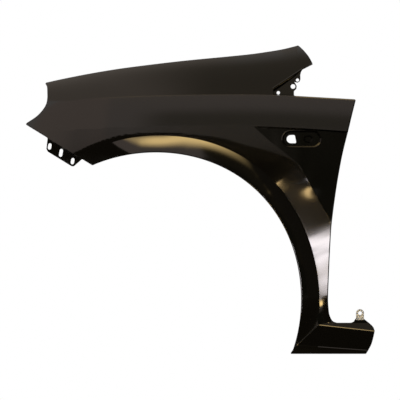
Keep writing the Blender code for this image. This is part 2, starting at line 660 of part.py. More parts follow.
def triangulate(loop, holes, lines, step):
    """Triangles that fill a loop round its holes, follow its lines and are even in between."""
    fences = [np.vstack([loop, loop[:1]]), *(np.vstack([h, h[:1]]) for h in holes), *lines]
    near = np.vstack([resample(fence, step / 3) for fence in fences])
    low, high = loop.min(axis=0), loop.max(axis=0)
    row_gap = step * math.sqrt(3) / 2
    lattice = []
    for row, z in enumerate(np.arange(low[1], high[1], row_gap)):
        xs = np.arange(low[0] + step / 2 * (row % 2), high[0], step)
        lattice.append(np.stack([xs, np.full(len(xs), z)], axis=1))
    lattice = np.vstack(lattice)
    lattice = lattice[inside(loop, lattice)]
    lattice = lattice[nearest(lattice, near) > LATTICE_CLEAR_SHARE * step]
    points = []
    joins = []
    for fence in fences:
        first = len(points)
        closed = np.allclose(fence[0], fence[-1])
        ring = fence[:-1] if closed else fence
        points += list(ring)
        joins += [(first + k, first + k + 1) for k in range(len(ring) - 1)]
        if closed:
            joins.append((first + len(ring) - 1, first))
    points += list(lattice)
    made = delaunay_2d_cdt([Vector(p) for p in points], joins, [], 0, WELD / 100)
    places = np.array([tuple(v) for v in made[0]])
    faces = np.array([tuple(f) for f in made[2]])
    middles = places[faces].mean(axis=1)
    keep = inside(loop, middles)
    for hole in holes:
        keep &= ~inside(hole, middles)
    return places, faces[keep]


def round_hole(centre, radius, step=HOLE_STEP):
    count = max(8, math.ceil(2 * math.pi * radius / step))
    angle = np.linspace(0, 2 * math.pi, count, endpoint=False)
    return np.array(centre) + radius * np.stack([np.cos(angle), np.sin(angle)], axis=1)


def slot_hole(centre, length, width, tilt):
    """A round-ended slot whose long way leans by the tilt from square to the bumper edge."""
    way = below_edge_way()
    up = np.array([-way[0] * math.cos(tilt) - way[1] * math.sin(tilt),
                   way[0] * math.sin(tilt) - way[1] * math.cos(tilt)])
    side = np.array([up[1], -up[0]])
    points = []
    for sign in (1, -1):
        for angle in np.linspace(0, math.pi, 5):
            points.append(sign * (up * (length - width) / 2 + (side * math.cos(angle)
                          + up * math.sin(angle)) * width / 2))
    return np.array(centre) + np.array(points)


def pocket_ring(length, height, centre_x, inset, step):
    """The outline of a pocket about the lamp's place, set in from its edge."""
    half = (length - height) / 2
    radius = height / 2 - inset
    count = max(6, math.ceil(math.pi * radius / step))
    angle = np.linspace(-math.pi / 2, math.pi / 2, count + 1)
    right = np.stack([centre_x + half + radius * np.cos(angle), LAMP_POCKET_Z + radius * np.sin(angle)], 1)
    left = np.stack([centre_x - half - radius * np.cos(angle), LAMP_POCKET_Z - radius * np.sin(angle)], 1)
    ring = np.vstack([right, left]) if half > GAUGE else np.vstack([right[:-1], left[:-1]])
    return resample(np.vstack([ring, ring[:1]]), step)


def lamp_hole():
    """The lamp's own hole, round at its front and cut off on a slant at its rear."""
    centre = LAMP_POCKET_X - LAMP_HOLE_OFFSET
    half = LAMP_HOLE_HEIGHT / 2
    angle = np.linspace(math.radians(90), math.radians(270), 9)
    front = centre - LAMP_HOLE_WIDTH / 2 + half
    curve = np.stack([front + half * np.cos(angle), LAMP_POCKET_Z + half * np.sin(angle)], axis=1)
    rear = centre + LAMP_HOLE_WIDTH / 2
    slant = [(rear - half * inset, LAMP_POCKET_Z + half * up) for inset, up in LAMP_HOLE_SHARES]
    return np.vstack([curve, slant])


def skin_holes():
    holes = [lamp_hole()]
    lengths = (SLOT_SHORT, SLOT_LONG, SLOT_SHORT)
    for (along, down), length in zip(SLOT_SHARES, lengths):
        holes.append(slot_hole(front_tab_place(along, down), length, SLOT_WIDTH, SLOT_TILT))
    for share, radius in zip(PILLAR_HOLE_SHARES, PILLAR_HOLE_RADII):
        holes.append(round_hole(pillar_place(*share), radius))
    return holes


def offset_line(points, distance):
    """A line moved to the right of its own direction."""
    points = np.array(points, float)
    way = np.gradient(points, axis=0)
    way = way / np.hypot(*way.T)[:, None]
    return points + distance * np.stack([way[:, 1], -way[:, 0]], axis=1)


def crease_lines(loop):
    """The lines that the triangles follow: creases, joggles, walls and the edges of recesses."""
    xs = np.linspace(-SOFT_START, PILLAR_ROOT_REACH - PILLAR_WALL, 40)
    shoulder = np.stack([xs, shoulder_height(xs)], axis=1)
    foot_angle = math.atan2(FOOT_HEIGHT, FOOT_REACH)
    crease = around(crease_radius, ARCH_FRONT_ANGLE, foot_angle)
    rings = [around(lambda angle, out=share: crease_radius(angle) + BAND_WIDTH * out, ARCH_FRONT_ANGLE,
                    foot_angle) for share in BAND_RING_SHARES]
    bumper = np.array([front_tab_place(-TAB_OVERRUN_SHARE, 0), front_tab_place(1 + TAB_OVERRUN_SHARE, 0)])
    xs = np.linspace(SILL_TOE_REACH, SILL_REACH, 30)
    wedge = np.stack([xs, wedge_height(xs)], axis=1)
    sill_line = np.stack([xs[xs > FOOT_REACH], sill_line_height(xs[xs > FOOT_REACH])], axis=1)
    lower = np.stack([xs, sill_lower_height(xs)], axis=1)
    fold = np.array([[TAB_REACHES[0], SILL_TOP - GAUGE], [TAB_REACHES[4], SILL_TOP - GAUGE]])
    shoulder_end = np.array([[PILLAR_ROOT[0], float(shoulder_height(PILLAR_ROOT[0]))], NOTCH])
    joggle = np.array([PILLAR_TOP, PILLAR_ROOT, shoulder_end[0], NOTCH])
    inner_joggle = joggle + PILLAR_WALL * np.array(JOGGLE_OFFSET_SHARES)
    lines = [(shoulder, EDGE_STEP), (crease, EDGE_STEP), (SCALLOP_TOP, EDGE_STEP / 2),
             (SCALLOP_TOP[8:] - np.array([0, SCALLOP_WALL]), EDGE_STEP / 2), (SCALLOP_LOW, EDGE_STEP),
             (bumper, EDGE_STEP / 2), (offset_line(bumper, FRONT_TAB_WALL), EDGE_STEP / 2),
             (wedge, EDGE_STEP), (sill_line, EDGE_STEP), (lower, EDGE_STEP), (fold, EDGE_STEP / 2),
             (joggle, EDGE_STEP / 3), (inner_joggle, EDGE_STEP / 3)]
    lines += [(ring, EDGE_STEP) for ring in rings]
    pockets = [(LAMP_POCKET_LENGTH, LAMP_POCKET_HEIGHT, LAMP_POCKET_X),
               (LAMP_WELL_WIDTH, LAMP_WELL_HEIGHT, LAMP_POCKET_X + LAMP_WELL_OFFSET)]
    out = [fit_line(line, loop, step) for line, step in lines]
    for length, height, centre in pockets:
        out.append(pocket_ring(length, height, centre, 0, EDGE_STEP / 2))
        out.append(pocket_ring(length, height, centre, LAMP_WALL, EDGE_STEP / 2.5))
    return [line for line in out if len(line) > 1]


def add_strip(sheet, upper, lower):
    """Joins two closed rows of points with faces, on the outer side of the upper row."""
    top = [sheet.verts.new(p) for p in upper]
    bottom = [sheet.verts.new(p) for p in lower]
    count = len(top)
    for k in range(count):
        after = (k + 1) % count
        sheet.faces.new((top[after], top[k], bottom[k], bottom[after]))


def pad_share(x, pads):
    """One on a bolt pad, falling to zero between the pads."""
    gap = np.min([np.abs(x - pad) for pad in pads], axis=0)
    return smoothstep((PAD_REACH_SHARE - gap / LEDGE_PAD) / PAD_EASE_SHARE)


def pad_places():
    return [CREST_REACH - share * (CREST_REACH + LAMP_REACH) for share in LEDGE_PAD_SHARES]


def flatten_pads(root, pads):
    """Sets the ledge's root at one height along each bolt pad, so that the pad is level."""
    for pad in pads:
        on = np.abs(root[:, 0] - pad) < LEDGE_PAD * PAD_FLAT_SHARE
        root[on, 2] = np.interp(pad, root[::-1, 0], root[::-1, 2])
    return root


def add_ledge(sheet, root, pads):
    """The ledge that runs inboard from the foot of the hood wall, wide at its bolt pads."""
    width = LEDGE_NECK + (LEDGE_WIDTH - LEDGE_NECK) * pad_share(root[:, 0], pads)
    width[[0, -1]] *= LEDGE_END_SHARE
    inner = root[:, :2] + np.stack([np.zeros(len(root)), width], axis=1)
    loop = np.vstack([root[:, :2][::-1], inner])
    holes = []
    for pad in pads:
        place = np.interp(pad, root[::-1, 0], root[::-1, 1])
        holes.append(round_hole((pad, place + LEDGE_WIDTH * BOLT_PLACE_SHARE), BOLT_RADIUS))
    lines = []
    for k in range(1, len(root) - 1):
        if pad_share(root[k, 0], pads) < 0.5:
            lines.append(np.array([root[k, :2], inner[k]]))
    places, faces = triangulate(loop[::-1], holes, lines, LEDGE_WIDTH)
    height = np.interp(places[:, 0], root[::-1, 0], root[::-1, 2])
    corners = [sheet.verts.new((p[0], p[1], h)) for p, h in zip(places, height)]
    for face in faces:
        sheet.faces.new([corners[k] for k in face])


def fender_sheet():
    """The pressed sheet as a surface, and the place under the middle bolt pad that it is held by."""
    rows, depth, fold = rolled_edge()
    pads = pad_places()
    on_hood = np.where(fold > 0.999)[0]
    rows[-1][on_hood] = flatten_pads(rows[-1][on_hood].copy(), pads)
    loop = rows[0][:, [0, 2]]
    places, faces = triangulate(loop, skin_holes(), crease_lines(loop), GRID)
    sheet = bmesh.new()
    back = -level(*places.T)
    corners = [sheet.verts.new((p[0], y, p[1])) for p, y in zip(places, back)]
    for face in faces:
        sheet.faces.new([corners[k] for k in face])
    for upper, lower in zip(rows, rows[1:]):
        add_strip(sheet, upper, lower)
    root = rows[-1][on_hood]
    add_ledge(sheet, root, pads)
    mount = [pads[1] + LEDGE_PAD * MOUNT_SIDE_SHARE, 0, 0]
    mount[1] = np.interp(mount[0], root[::-1, 0], root[::-1, 1]) + LEDGE_WIDTH * BOLT_PLACE_SHARE
    mount[2] = np.interp(pads[1], root[::-1, 0], root[::-1, 2]) - GAUGE
    bmesh.ops.remove_doubles(sheet, verts=sheet.verts, dist=WELD)
    bmesh.ops.dissolve_degenerate(sheet, dist=WELD, edges=sheet.edges)
    bmesh.ops.triangulate(sheet, faces=sheet.faces)
    return sheet, mount


def paint(name, colour, roughness, metallic):
    material = bpy.data.materials.new(name)
    material.use_nodes = True
    shader = material.node_tree.nodes["Principled BSDF"]
    shader.inputs["Base Color"].default_value = colour
    shader.inputs["Roughness"].default_value = roughness
    shader.inputs["Metallic"].default_value = metallic
    return material


def add_object(name, sheet, material, gauge, parent, side):
    mesh = bpy.data.meshes.new(name)
    sheet.to_mesh(mesh)
    sheet.free()
    mesh.materials.append(material)
    piece = bpy.data.objects.new(name, mesh)
    bpy.context.scene.collection.objects.link(piece)
    piece.parent = parent
    solid = piece.modifiers.new("gauge", "SOLIDIFY")
    solid.thickness = gauge
    solid.offset = side
    solid.use_even_offset = True
    mesh.shade_smooth()
    mesh.set_sharp_from_angle(angle=math.radians(35))
    return piece


def fixing_tab_sheet():
    """The plated eyelet that stands on the sill tab's outer face."""
    half = FIXING_WIDTH / 2
    angle = np.linspace(0, math.pi, 13)
    head = np.array([FIXING_REACH, FIXING_HEIGHT]) + FIXING_RADIUS * np.stack([np.cos(angle), np.sin(angle)], 1)
    low = FIXING_HEIGHT - FIXING_RADIUS - FIXING_FOOT
    foot = np.array([[FIXING_REACH - half, low], [FIXING_REACH + half, low]])
    loop = np.vstack([foot, head])
    hole = round_hole((FIXING_REACH, FIXING_HEIGHT), FIXING_HOLE_RADIUS, HOLE_STEP / 1.5)
    places, faces = triangulate(loop, [hole], [], FIXING_RADIUS)
    sheet = bmesh.new()
    out = level(places[:, 0], np.full(len(places), TAB_HEIGHT)) + FIXING_GAP + FIXING_GAUGE
    corners = [sheet.verts.new((p[0], -o, p[1])) for p, o in zip(places, out)]
    for face in faces:
        sheet.faces.new([corners[k] for k in face])
    return sheet


def main():
    for old in list(bpy.data.objects):
        bpy.data.objects.remove(old)
    sheet, mount = fender_sheet()
    base = bpy.data.objects.new("wheel_centre", None)
    base.location = [-place for place in mount]
    bpy.context.scene.collection.objects.link(base)
    add_object("fender_panel", sheet, paint("black_primer", PAINT_COLOUR, 0.35, 0.0), GAUGE, base, -1)
    zinc = paint("zinc_plate", ZINC_COLOUR, 0.3, 1.0)
    add_object("sill_fixing_tab", fixing_tab_sheet(), zinc, FIXING_GAUGE, base, -1)


main()
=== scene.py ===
"""Looks of the left front fender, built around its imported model.

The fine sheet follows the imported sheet's own shape with a closer mesh, in metres, and has low beads
along its pressed lines. The outside faces -Y, the front of the car is toward -X, and X and Z start at
the wheel centre until the sheet is placed.
"""

import math
import json

import bmesh
import bpy
import numpy as np
from mathutils import Matrix, Vector
from mathutils.geometry import delaunay_2d_cdt

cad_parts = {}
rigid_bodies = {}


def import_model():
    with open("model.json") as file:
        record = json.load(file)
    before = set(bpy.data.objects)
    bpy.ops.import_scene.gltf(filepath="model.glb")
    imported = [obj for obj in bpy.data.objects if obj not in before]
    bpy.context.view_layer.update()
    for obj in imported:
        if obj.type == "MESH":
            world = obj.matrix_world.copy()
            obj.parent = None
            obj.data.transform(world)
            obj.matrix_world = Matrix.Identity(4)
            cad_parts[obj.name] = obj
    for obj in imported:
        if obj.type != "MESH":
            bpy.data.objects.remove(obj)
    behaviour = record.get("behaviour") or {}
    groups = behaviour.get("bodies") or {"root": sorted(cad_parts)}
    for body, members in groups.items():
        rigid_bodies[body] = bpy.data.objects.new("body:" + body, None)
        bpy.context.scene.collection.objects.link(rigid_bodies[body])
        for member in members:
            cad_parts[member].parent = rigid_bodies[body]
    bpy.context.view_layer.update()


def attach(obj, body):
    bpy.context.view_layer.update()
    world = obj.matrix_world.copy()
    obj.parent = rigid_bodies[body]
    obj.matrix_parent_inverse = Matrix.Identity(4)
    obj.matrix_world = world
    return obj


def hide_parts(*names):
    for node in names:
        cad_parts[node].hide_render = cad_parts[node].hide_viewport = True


for old in list(bpy.data.objects):
    bpy.data.objects.remove(old)
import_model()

# Sheet and mesh
GAUGE = 0.0007
BEND_RADIUS = 0.0025
CORNER_RADIUS = 0.004
EDGE_STEP = 0.0045
HOLE_STEP = 0.0010
LAMP_STEP = 0.0018
WELD = 0.00001
BEND_STEPS = 5
CORNER_DEPTH_SHARE = 0.22
CORNER_TRIM_SHARE = 0.42
SHARPEST_FOLD = math.radians(115)
LEAST_CORNER = math.radians(12)
ARC_LIMIT = math.radians(130)
ARC_STEP = math.radians(35)
STEEPEST_EDGE = math.radians(75)
SHARP_EDGE = math.radians(40)
CURVE_STEPS = 12
# Points compared at a time
BATCH = 400

# The whole panel, from the nose to the sill's end and from the sill to the crest
PANEL_LENGTH = 0.8745
PANEL_HEIGHT = 0.7715

# Places on the outline: reach along X and height along Z, from the wheel centre
ARCH_RADIUS = 0.3677
ARCH_FRONT_ANGLE = math.radians(115.2)
ARCH_REAR_ANGLE = math.radians(-20.6)
ARCH_SQUARE_ANGLE = math.radians(47.8)
SILL_REACH = 0.5495
NOSE_REACH = PANEL_LENGTH - SILL_REACH
LAMP_INSET = 0.049
LAMP_REACH = NOSE_REACH - LAMP_INSET
CREST_REACH = 0.3575
TIP_REACH = 0.395
NOTCH_REACH = 0.3475
DOOR_REACH = 0.5025
LEG_WIDTH = 0.065
SILL_END_HEIGHT = -0.0813
SILL_TOP = -0.0605
SILL_DROP = 0.1385
SILL_TOE_REACH = 0.3375
SILL_HEEL_INSET = 0.022
# Heights measured down from the crest, and from the shoulder for what follows it
CREST_HEIGHT = PANEL_HEIGHT - SILL_DROP
TIP_DROP = 0.047
LAMP_DROP = 0.094
NOSE_DROP = 0.197
SHOULDER_DROP = 0.123
DOOR_DROP = 0.012
TIP_HEIGHT = CREST_HEIGHT - TIP_DROP
LAMP_HEIGHT = CREST_HEIGHT - LAMP_DROP
NOSE_HEIGHT = CREST_HEIGHT - NOSE_DROP
SHOULDER_HEIGHT = CREST_HEIGHT - SHOULDER_DROP
DOOR_HEIGHT = SHOULDER_HEIGHT - DOOR_DROP

# Pressed shape
PLAN_START = 0.150
PLAN_RADIUS = 0.950
PLAN_TURN = math.radians(80)
SHOULDER_PEAK = 0.200
SHOULDER_SAG = 0.013
SHOULDER_FRONT_SPAN = 0.412
SHOULDER_REAR_SPAN = 0.302
SHOULDER_SOFT = 0.0001
NOSE_SOFT = 0.030
SOFT_START = 0.180
CROWN_REACH = 0.075
UPPER_LOW_ANGLE = math.radians(30)
UPPER_TOP_ANGLE = math.radians(57)
CROWN_ANGLE = math.radians(8)
LEAN_ANGLE = math.radians(1.7)
BAND_WIDTH = 0.045
BAND_DEPTH = 0.013
BAND_SLOPE = math.tan(math.radians(27.5))
UNDERCUT_REACH = 0.105
COVE_POWER = 1.02
CREASE_SOFT = 0.0012
FOLD_MARGIN = 0.0014
BEAD_RISE = 0.0010
BEAD_REACH = 0.0018
# Lines that follow a bead, in shares of its reach, and the same from the lamp recess's edge
BEAD_SHARES = (0.5, 1, 1.5, 2)
LAMP_BEAD_SHARES = (-1.5, -1, -0.5, 0.5)

# Scallop that runs on into the door
SCALLOP_DEPTH = 0.012
SCALLOP_WALL = 0.004
# Points of the scallop's top line before its wall has room
SCALLOP_CLEAR = 8
SCALLOP_START = 0.243
SCALLOP_BELOW_SHOULDER = 0.0788
SCALLOP_FALL = 0.0147
SCALLOP_HEIGHT = SHOULDER_HEIGHT - SCALLOP_BELOW_SHOULDER
SCALLOP_DOOR_HEIGHT = SCALLOP_HEIGHT - SCALLOP_FALL
SCALLOP_FOOT_REACH = 0.435
SCALLOP_FOOT_HEIGHT = 0.201
SWELL_PLACE = (0.394, 0.289)
SWELL_HEIGHT = 0.0019
SWELL_REACH = 0.022

# Side lamp recess
LAMP_POCKET_LENGTH = 0.0955
LAMP_POCKET_HEIGHT = 0.040
LAMP_POCKET_X = 0.3665
LAMP_BELOW_SCALLOP = 0.0327
LAMP_POCKET_Z = SCALLOP_HEIGHT - LAMP_BELOW_SCALLOP
LAMP_POCKET_DEPTH = 0.006
LAMP_WALL = 0.003
LAMP_HOLE_WIDTH = 0.024
LAMP_HOLE_HEIGHT = 0.0205
LAMP_HOLE_OFFSET = 0.0255
LAMP_WELL_WIDTH = 0.022
LAMP_WELL_HEIGHT = 0.0185
LAMP_WELL_OFFSET = 0.0165
LAMP_WELL_DEPTH = 0.005
LAMP_POCKET = (LAMP_POCKET_LENGTH, LAMP_POCKET_HEIGHT, LAMP_POCKET_X)
LAMP_WELL = (LAMP_WELL_WIDTH, LAMP_WELL_HEIGHT, LAMP_POCKET_X + LAMP_WELL_OFFSET)

# Sill foot
FOOT_REACH = 0.4075
FOOT_HEIGHT = -0.06625
FOOT_BLEND = 0.070
SILL_LEVEL = 0.008
SILL_LINE_FALL = 0.016
SHELF_ANGLE = math.radians(35)
SILL_FACE_ANGLE = math.radians(13)
SILL_LOWER_ANGLE = math.radians(48)
SILL_LOWER_TOE = 0.0205
SILL_LOWER_HEEL = 0.005
WEDGE_RISE_SLOPE = 0.237
TOE_SLOPE = 0.955

# Front bracket tab, under the bumper edge
FRONT_TAB_END_SHARES = (0.3355, 0.8462)
FRONT_TAB_DROP = 0.029
FRONT_TAB_STEP = 0.011
FRONT_TAB_WALL = 0.004
FRONT_TAB_LEAN = math.radians(10)
SLOT_WIDTH = 0.0088
SLOT_LONG = 0.0205
SLOT_SHORT = 0.0165
SLOT_TILT = math.radians(-21.5)

# Pillar bracket, in the notch behind the shoulder
PILLAR_ROOT_REACH = 0.295
PILLAR_ROOT_RISE = 0.01375
PILLAR_ROOT_HEIGHT = SHOULDER_HEIGHT + PILLAR_ROOT_RISE
PILLAR_TOP_REACH = 0.36875
PILLAR_TOP_DROP = 0.0135
PILLAR_TOP_HEIGHT = TIP_HEIGHT - PILLAR_TOP_DROP
PILLAR_STEP = 0.009
PILLAR_WALL = 0.002
PILLAR_HOLE_RADII = (0.0042, 0.0059, 0.0040)

# Edges turned inward, and the ledge that bolts to the hood rail
ARCH_FLANGE = 0.014
DOOR_FLANGE = 0.012
LAMP_FLANGE = 0.012
BUMPER_FLANGE = 0.008
NOTCH_FLANGE = 0.009
REAR_FLANGE = 0.009
SILL_FLANGE = 0.012
HOOD_WALL = 0.015
LEDGE_WIDTH = 0.028
LEDGE_NECK = 0.012
LEDGE_PAD = 0.042
BOLT_RADIUS = 0.0045
CORNER_TAPER = 0.014

# Sill fixing tab of plated steel
FIXING_GAUGE = 0.0012
FIXING_GAP = 0.0003
FIXING_RADIUS = 0.010
FIXING_HOLE_RADIUS = 0.0047
FIXING_WIDTH = 0.0195
FIXING_FOOT = 0.007
FIXING_REACH = 0.5125
FIXING_HEIGHT = -0.0365
TAB_REACHES = (0.4900, 0.4965, 0.5025, 0.5200, 0.5375)
TAB_HEIGHT = -0.04875

# Shapes of the curves: places along a chord and bulges to its outer side, in shares of the chord
HOOD_SHARES = ((0.014, -0.0019), (0.062, -0.0062), (0.12, -0.0074), (0.19, -0.0068), (0.275, -0.003),
               (0.463, 0.0065), (0.651, 0.0116), (0.746, 0.0119), (0.841, 0.0095), (0.936, 0.0047))
REAR_SHARES = ((0.07, 0.013), (0.354, 0.059), (0.677, 0.056), (0.93, 0.02))
LAMP_SHARES = ((0.049, -0.077), (0.164, -0.142), (0.284, -0.198), (0.415, -0.229), (0.571, -0.210),
               (0.746, -0.150), (0.95, -0.028))
DOOR_SHARES = ((0.04, -0.0047), (0.114, -0.0121), (0.208, -0.0212), (0.275, -0.027), (0.365, -0.0335),
               (0.486, -0.0354), (0.607, -0.0339), (0.728, -0.0279), (0.851, -0.015), (0.912, -0.0094))
HEEL_SHARES = ((0.127, -0.136), (0.384, -0.164), (0.613, -0.117), (0.836, -0.055))
SILL_END_SHARES = ((0.125, 0.027), (0.411, 0.063), (0.678, 0.047))
SILL_SLOPE_SHARES = ((0.4, 0.10), (0.7, 0.08))
SCALLOP_TOP_SHARES = ((0.25, -0.004), (0.5, -0.006), (0.75, -0.004))
SCALLOP_LOW_SHARES = ((0.041, -0.009), (0.129, -0.023), (0.217, -0.036), (0.299, -0.055), (0.404, -0.075),
                      (0.516, -0.091), (0.601, -0.074), (0.686, -0.057), (0.782, -0.041), (0.885, -0.020))

# Shares of a size by the angle about the wheel centre, in degrees
BAND_WIDTH_SHARES = ((-25, 1.04), (-10, 1.04), (20, 1.0), (50, 1.05), (70, 1.02), (85, 0.95), (100, 0.9),
                     (118, 0.8), (140, 0.8))
BAND_DEPTH_SHARES = ((-25, 0.3), (0, 0.31), (8, 0.41), (12, 0.51), (16, 0.69), (19, 0.83), (22, 0.91),
                     (26, 0.95), (30, 0.97), (36, 1.0), (40, 1.03), (43, 1.03), (46, 0.95), (50, 0.72),
                     (54, 0.5), (60, 0.33), (67, 0.2), (78, 0.08), (90, 0.07), (104, 0.12), (140, 0.15))
UNDERCUT_SHARES = ((-25, 0.21), (0, 0.21), (4, 0.235), (8, 0.29), (14, 0.41), (17, 0.51), (20, 0.59),
                   (24, 0.63), (27, 0.612), (30, 0.601), (33, 0.608), (36, 0.618), (40, 0.66),
                   (43, 0.69), (46, 0.64), (50, 0.5), (54, 0.4), (60, 0.27), (67, 0.2), (78, 0.09),
                   (90, 0.07), (104, 0.1), (140, 0.12))
BAND_ROOT_SHARES = ((-25, 1.54), (40, 1.54), (47, 1.25), (54, 0.87), (60, 0.77), (67, 0.73), (78, 0.73),
                    (88, 0.87), (95, 0.83), (99, 0.69), (103, 0.29), (107, -0.19), (112, -0.48),
                    (140, -0.48))
BAND_LIP_SHARES = ((-25, 0.17), (45, 0.17), (67, 0.18), (78, 0.30), (88, 0.31), (95, 0.26), (99, 0.08),
                   (103, -0.19), (107, -0.38), (112, -0.48), (140, -0.48))
COVE_SHARES = ((-25, 1.0), (35, 1.0), (60, 0.0), (140, 0.0))
ARCH_SQUARE_SHARE = 0.0073
# How clear of the outline a crease line stops, how far off it is still joined to it, and how clear of
# every line the even points in between stay, in shares of their step
CREASE_CLEAR_SHARE = 0.45
CREASE_REACH_SHARE = 1.3
LATTICE_CLEAR_SHARE = 0.62
# Rear end of the lamp's hole: how far in and how far up, in shares of half its height
LAMP_HOLE_SHARES = ((0.2, -1.0), (0.0, -0.8), (0.15, 0.0), (0.3, 0.8), (0.5, 1.0))
# Rings beside the flare's crease, in shares of the band's width, inner side negative
BAND_RING_SHARES = (-0.7, -0.42, -0.17, 0.3)

# Places of the slots along the front tab and below its fold, in shares of its length and drop
SLOT_SHARES = ((0.153, 0.53), (0.474, 0.495), (0.827, 0.58))
FRONT_TAB_SHARES = ((0.0, 0.0), (0.114, 0.85), (0.18, 1.0), (0.876, 1.0), (0.92, 0.91), (1.0, 0.0))
TAB_OVERRUN_SHARE = 0.02
# Outline of the pillar bracket and its hole centres, in shares of its breadth and height
PILLAR_OUTLINE_SHARES = ((0.712, 0.18), (0.793, 0.267), (0.803, 0.378), (0.753, 0.477), (0.722, 0.53),
                         (0.831, 0.50), (0.908, 0.553), (0.932, 0.637), (0.925, 0.79), (0.949, 0.905))
PILLAR_HOLE_SHARES = ((0.18, 0.118), (0.678, 0.355), (0.83, 0.60))
# Offsets of the joggle's inner line from its outer one, in shares of its wall
JOGGLE_OFFSET_SHARES = ((0.55, -0.83), (1, -0.5), (1, 1), (0, 1))
# The hood ledge: how far its pads are level and wide, its ends, its bolts and its pads' places
PAD_FLAT_SHARE = 0.62
PAD_REACH_SHARE = 0.85
PAD_EASE_SHARE = 0.35
LEDGE_END_SHARE = 0.25
MOUNT_SIDE_SHARE = 0.3
BOLT_PLACE_SHARE = 0.55
LEDGE_PAD_SHARES = (0.13, 0.50, 0.84)


def polar(radius, angle):
    """Points at a radius and an angle about nought."""
    return np.stack([radius * np.cos(angle), radius * np.sin(angle)], axis=1)


def unit(way):
    return way / np.hypot(*way.T)[..., None]


def rightward(way):
    """Directions turned a quarter clockwise, as the camera sees them."""
    return np.stack([way[..., 1], -way[..., 0]], axis=-1)


def right_of(start, end, x, z):
    """Distance to the right of the line from start to end."""
    along = end - start
    return (along[1] * (x - start[0]) - along[0] * (z - start[1])) / np.hypot(*along)


def on_line(x, line, k=1):
    """The k-th coordinate, at places along X, of a line that runs toward lower X."""
    return np.interp(x, line[::-1, 0], line[::-1, k])


def space(places, back):
    """Points in space, from places in the X-Z plane and how far back they lie."""
    return np.stack([places[:, 0], back, places[:, 1]], axis=1)


def bow(start, end, shares):
    """Points of a curve from start to end that bulges to the right of its chord by the given shares."""
    start = np.array(start, float)
    chord = np.array(end, float) - start
    inner = [start + chord * along + rightward(chord) * out for along, out in shares]
    return smooth(np.array([start, *inner, start + chord]))


def smooth(points):
    """A cubic curve through the points, with points close enough together for resample."""
    ends = np.vstack([2 * points[0] - points[1], points, 2 * points[-1] - points[-2]])
    slopes = (ends[2:] - ends[:-2]) / 2
    out = []
    for start, end, leaving, arriving in zip(points, points[1:], slopes, slopes[1:]):
        for t in np.linspace(0, 1, CURVE_STEPS, endpoint=False):
            ease = smoothstep(t)
            pull = t * (1 - t)
            out.append(start * (1 - ease) + end * ease + leaving * pull * (1 - t) - arriving * pull * t)
    out.append(points[-1])
    return np.array(out)


def run(points):
    """Length along a line of points, from its start to each point."""
    return np.concatenate([[0.0], np.cumsum(np.hypot(*np.diff(points, axis=0).T))])


def at_lengths(points, lengths):
    """The points at the given lengths along a line."""
    along = run(points)
    return np.stack([np.interp(lengths, along, points[:, k]) for k in (0, 1)], axis=1)


def resample(points, step):
    """The same line with its points evenly spaced, at most a step apart."""
    points = np.array(points, float)
    length = run(points)[-1]
    return at_lengths(points, np.linspace(0, length, max(1, math.ceil(length / step)) + 1))


def by_angle(shares, angle):
    """Shares looked up by the angle about the wheel centre, on smooth curves that don't overshoot."""
    places, values = np.array(shares, float).T
    rises = np.diff(values) / np.diff(places)
    both = rises[:-1] * rises[1:]
    slopes = np.zeros(len(places))
    slopes[1:-1] = np.where(both > 0, 2 * both / np.where(both > 0, rises[:-1] + rises[1:], 1), 0)
    place = np.clip(np.degrees(angle), places[0], places[-1])
    k = np.clip(np.searchsorted(places, place) - 1, 0, len(places) - 2)
    gap = places[k + 1] - places[k]
    t = (place - places[k]) / gap
    ease = smoothstep(t)
    bend = gap * t * (1 - t) * (slopes[k] * (1 - t) - slopes[k + 1] * t)
    return values[k] * (1 - ease) + values[k + 1] * ease + bend


def arch_radius(angle):
    return ARCH_RADIUS * (1 + ARCH_SQUARE_SHARE * np.cos(4 * (angle - ARCH_SQUARE_ANGLE)))


def crease_radius(angle):
    return arch_radius(angle) + BAND_WIDTH * by_angle(BAND_WIDTH_SHARES, angle)


def around(radius, first, last, count=160):
    """Points at a radius that depends on the angle, about the wheel centre."""
    angle = np.linspace(first, last, count)
    return polar(radius(angle), angle)


def smoothstep(value):
    value = np.clip(value, 0, 1)
    return value * value * (3 - 2 * value)


def soft_ramp(value, width):
    """Nought below zero and the value above it, with a rounded change about as wide as the width."""
    return (value + np.sqrt(value**2 + 4 * width**2)) / 2


ARCH = around(arch_radius, ARCH_FRONT_ANGLE, ARCH_REAR_ANGLE)
BUMPER_END = ARCH[0]
NOSE = np.array([-NOSE_REACH, NOSE_HEIGHT])
HOOD = bow((CREST_REACH, CREST_HEIGHT), (-LAMP_REACH, LAMP_HEIGHT), HOOD_SHARES)
DOOR_FOOT = np.array([ARCH_RADIUS + LEG_WIDTH, 0.0])
HEEL = np.array([ARCH_RADIUS + LEG_WIDTH + SILL_HEEL_INSET, SILL_TOP])
SCALLOP_TOP = bow((SCALLOP_START, SCALLOP_HEIGHT), (DOOR_REACH, SCALLOP_DOOR_HEIGHT), SCALLOP_TOP_SHARES)
SCALLOP_LOW = bow((SCALLOP_START, SCALLOP_HEIGHT), (SCALLOP_FOOT_REACH, SCALLOP_FOOT_HEIGHT),
                  SCALLOP_LOW_SHARES)


def shoulder_height(x):
    span = np.where(x > SHOULDER_PEAK, SHOULDER_REAR_SPAN, SHOULDER_FRONT_SPAN)
    return SHOULDER_HEIGHT - SHOULDER_SAG * ((x - SHOULDER_PEAK) / span) ** 2


def hood_height(x):
    return on_line(x, HOOD)


def bumper_height(x):
    """Height of the straight bumper edge."""
    slope = (BUMPER_END[1] - NOSE[1]) / (BUMPER_END[0] - NOSE[0])
    return NOSE[1] + slope * (x - NOSE[0])


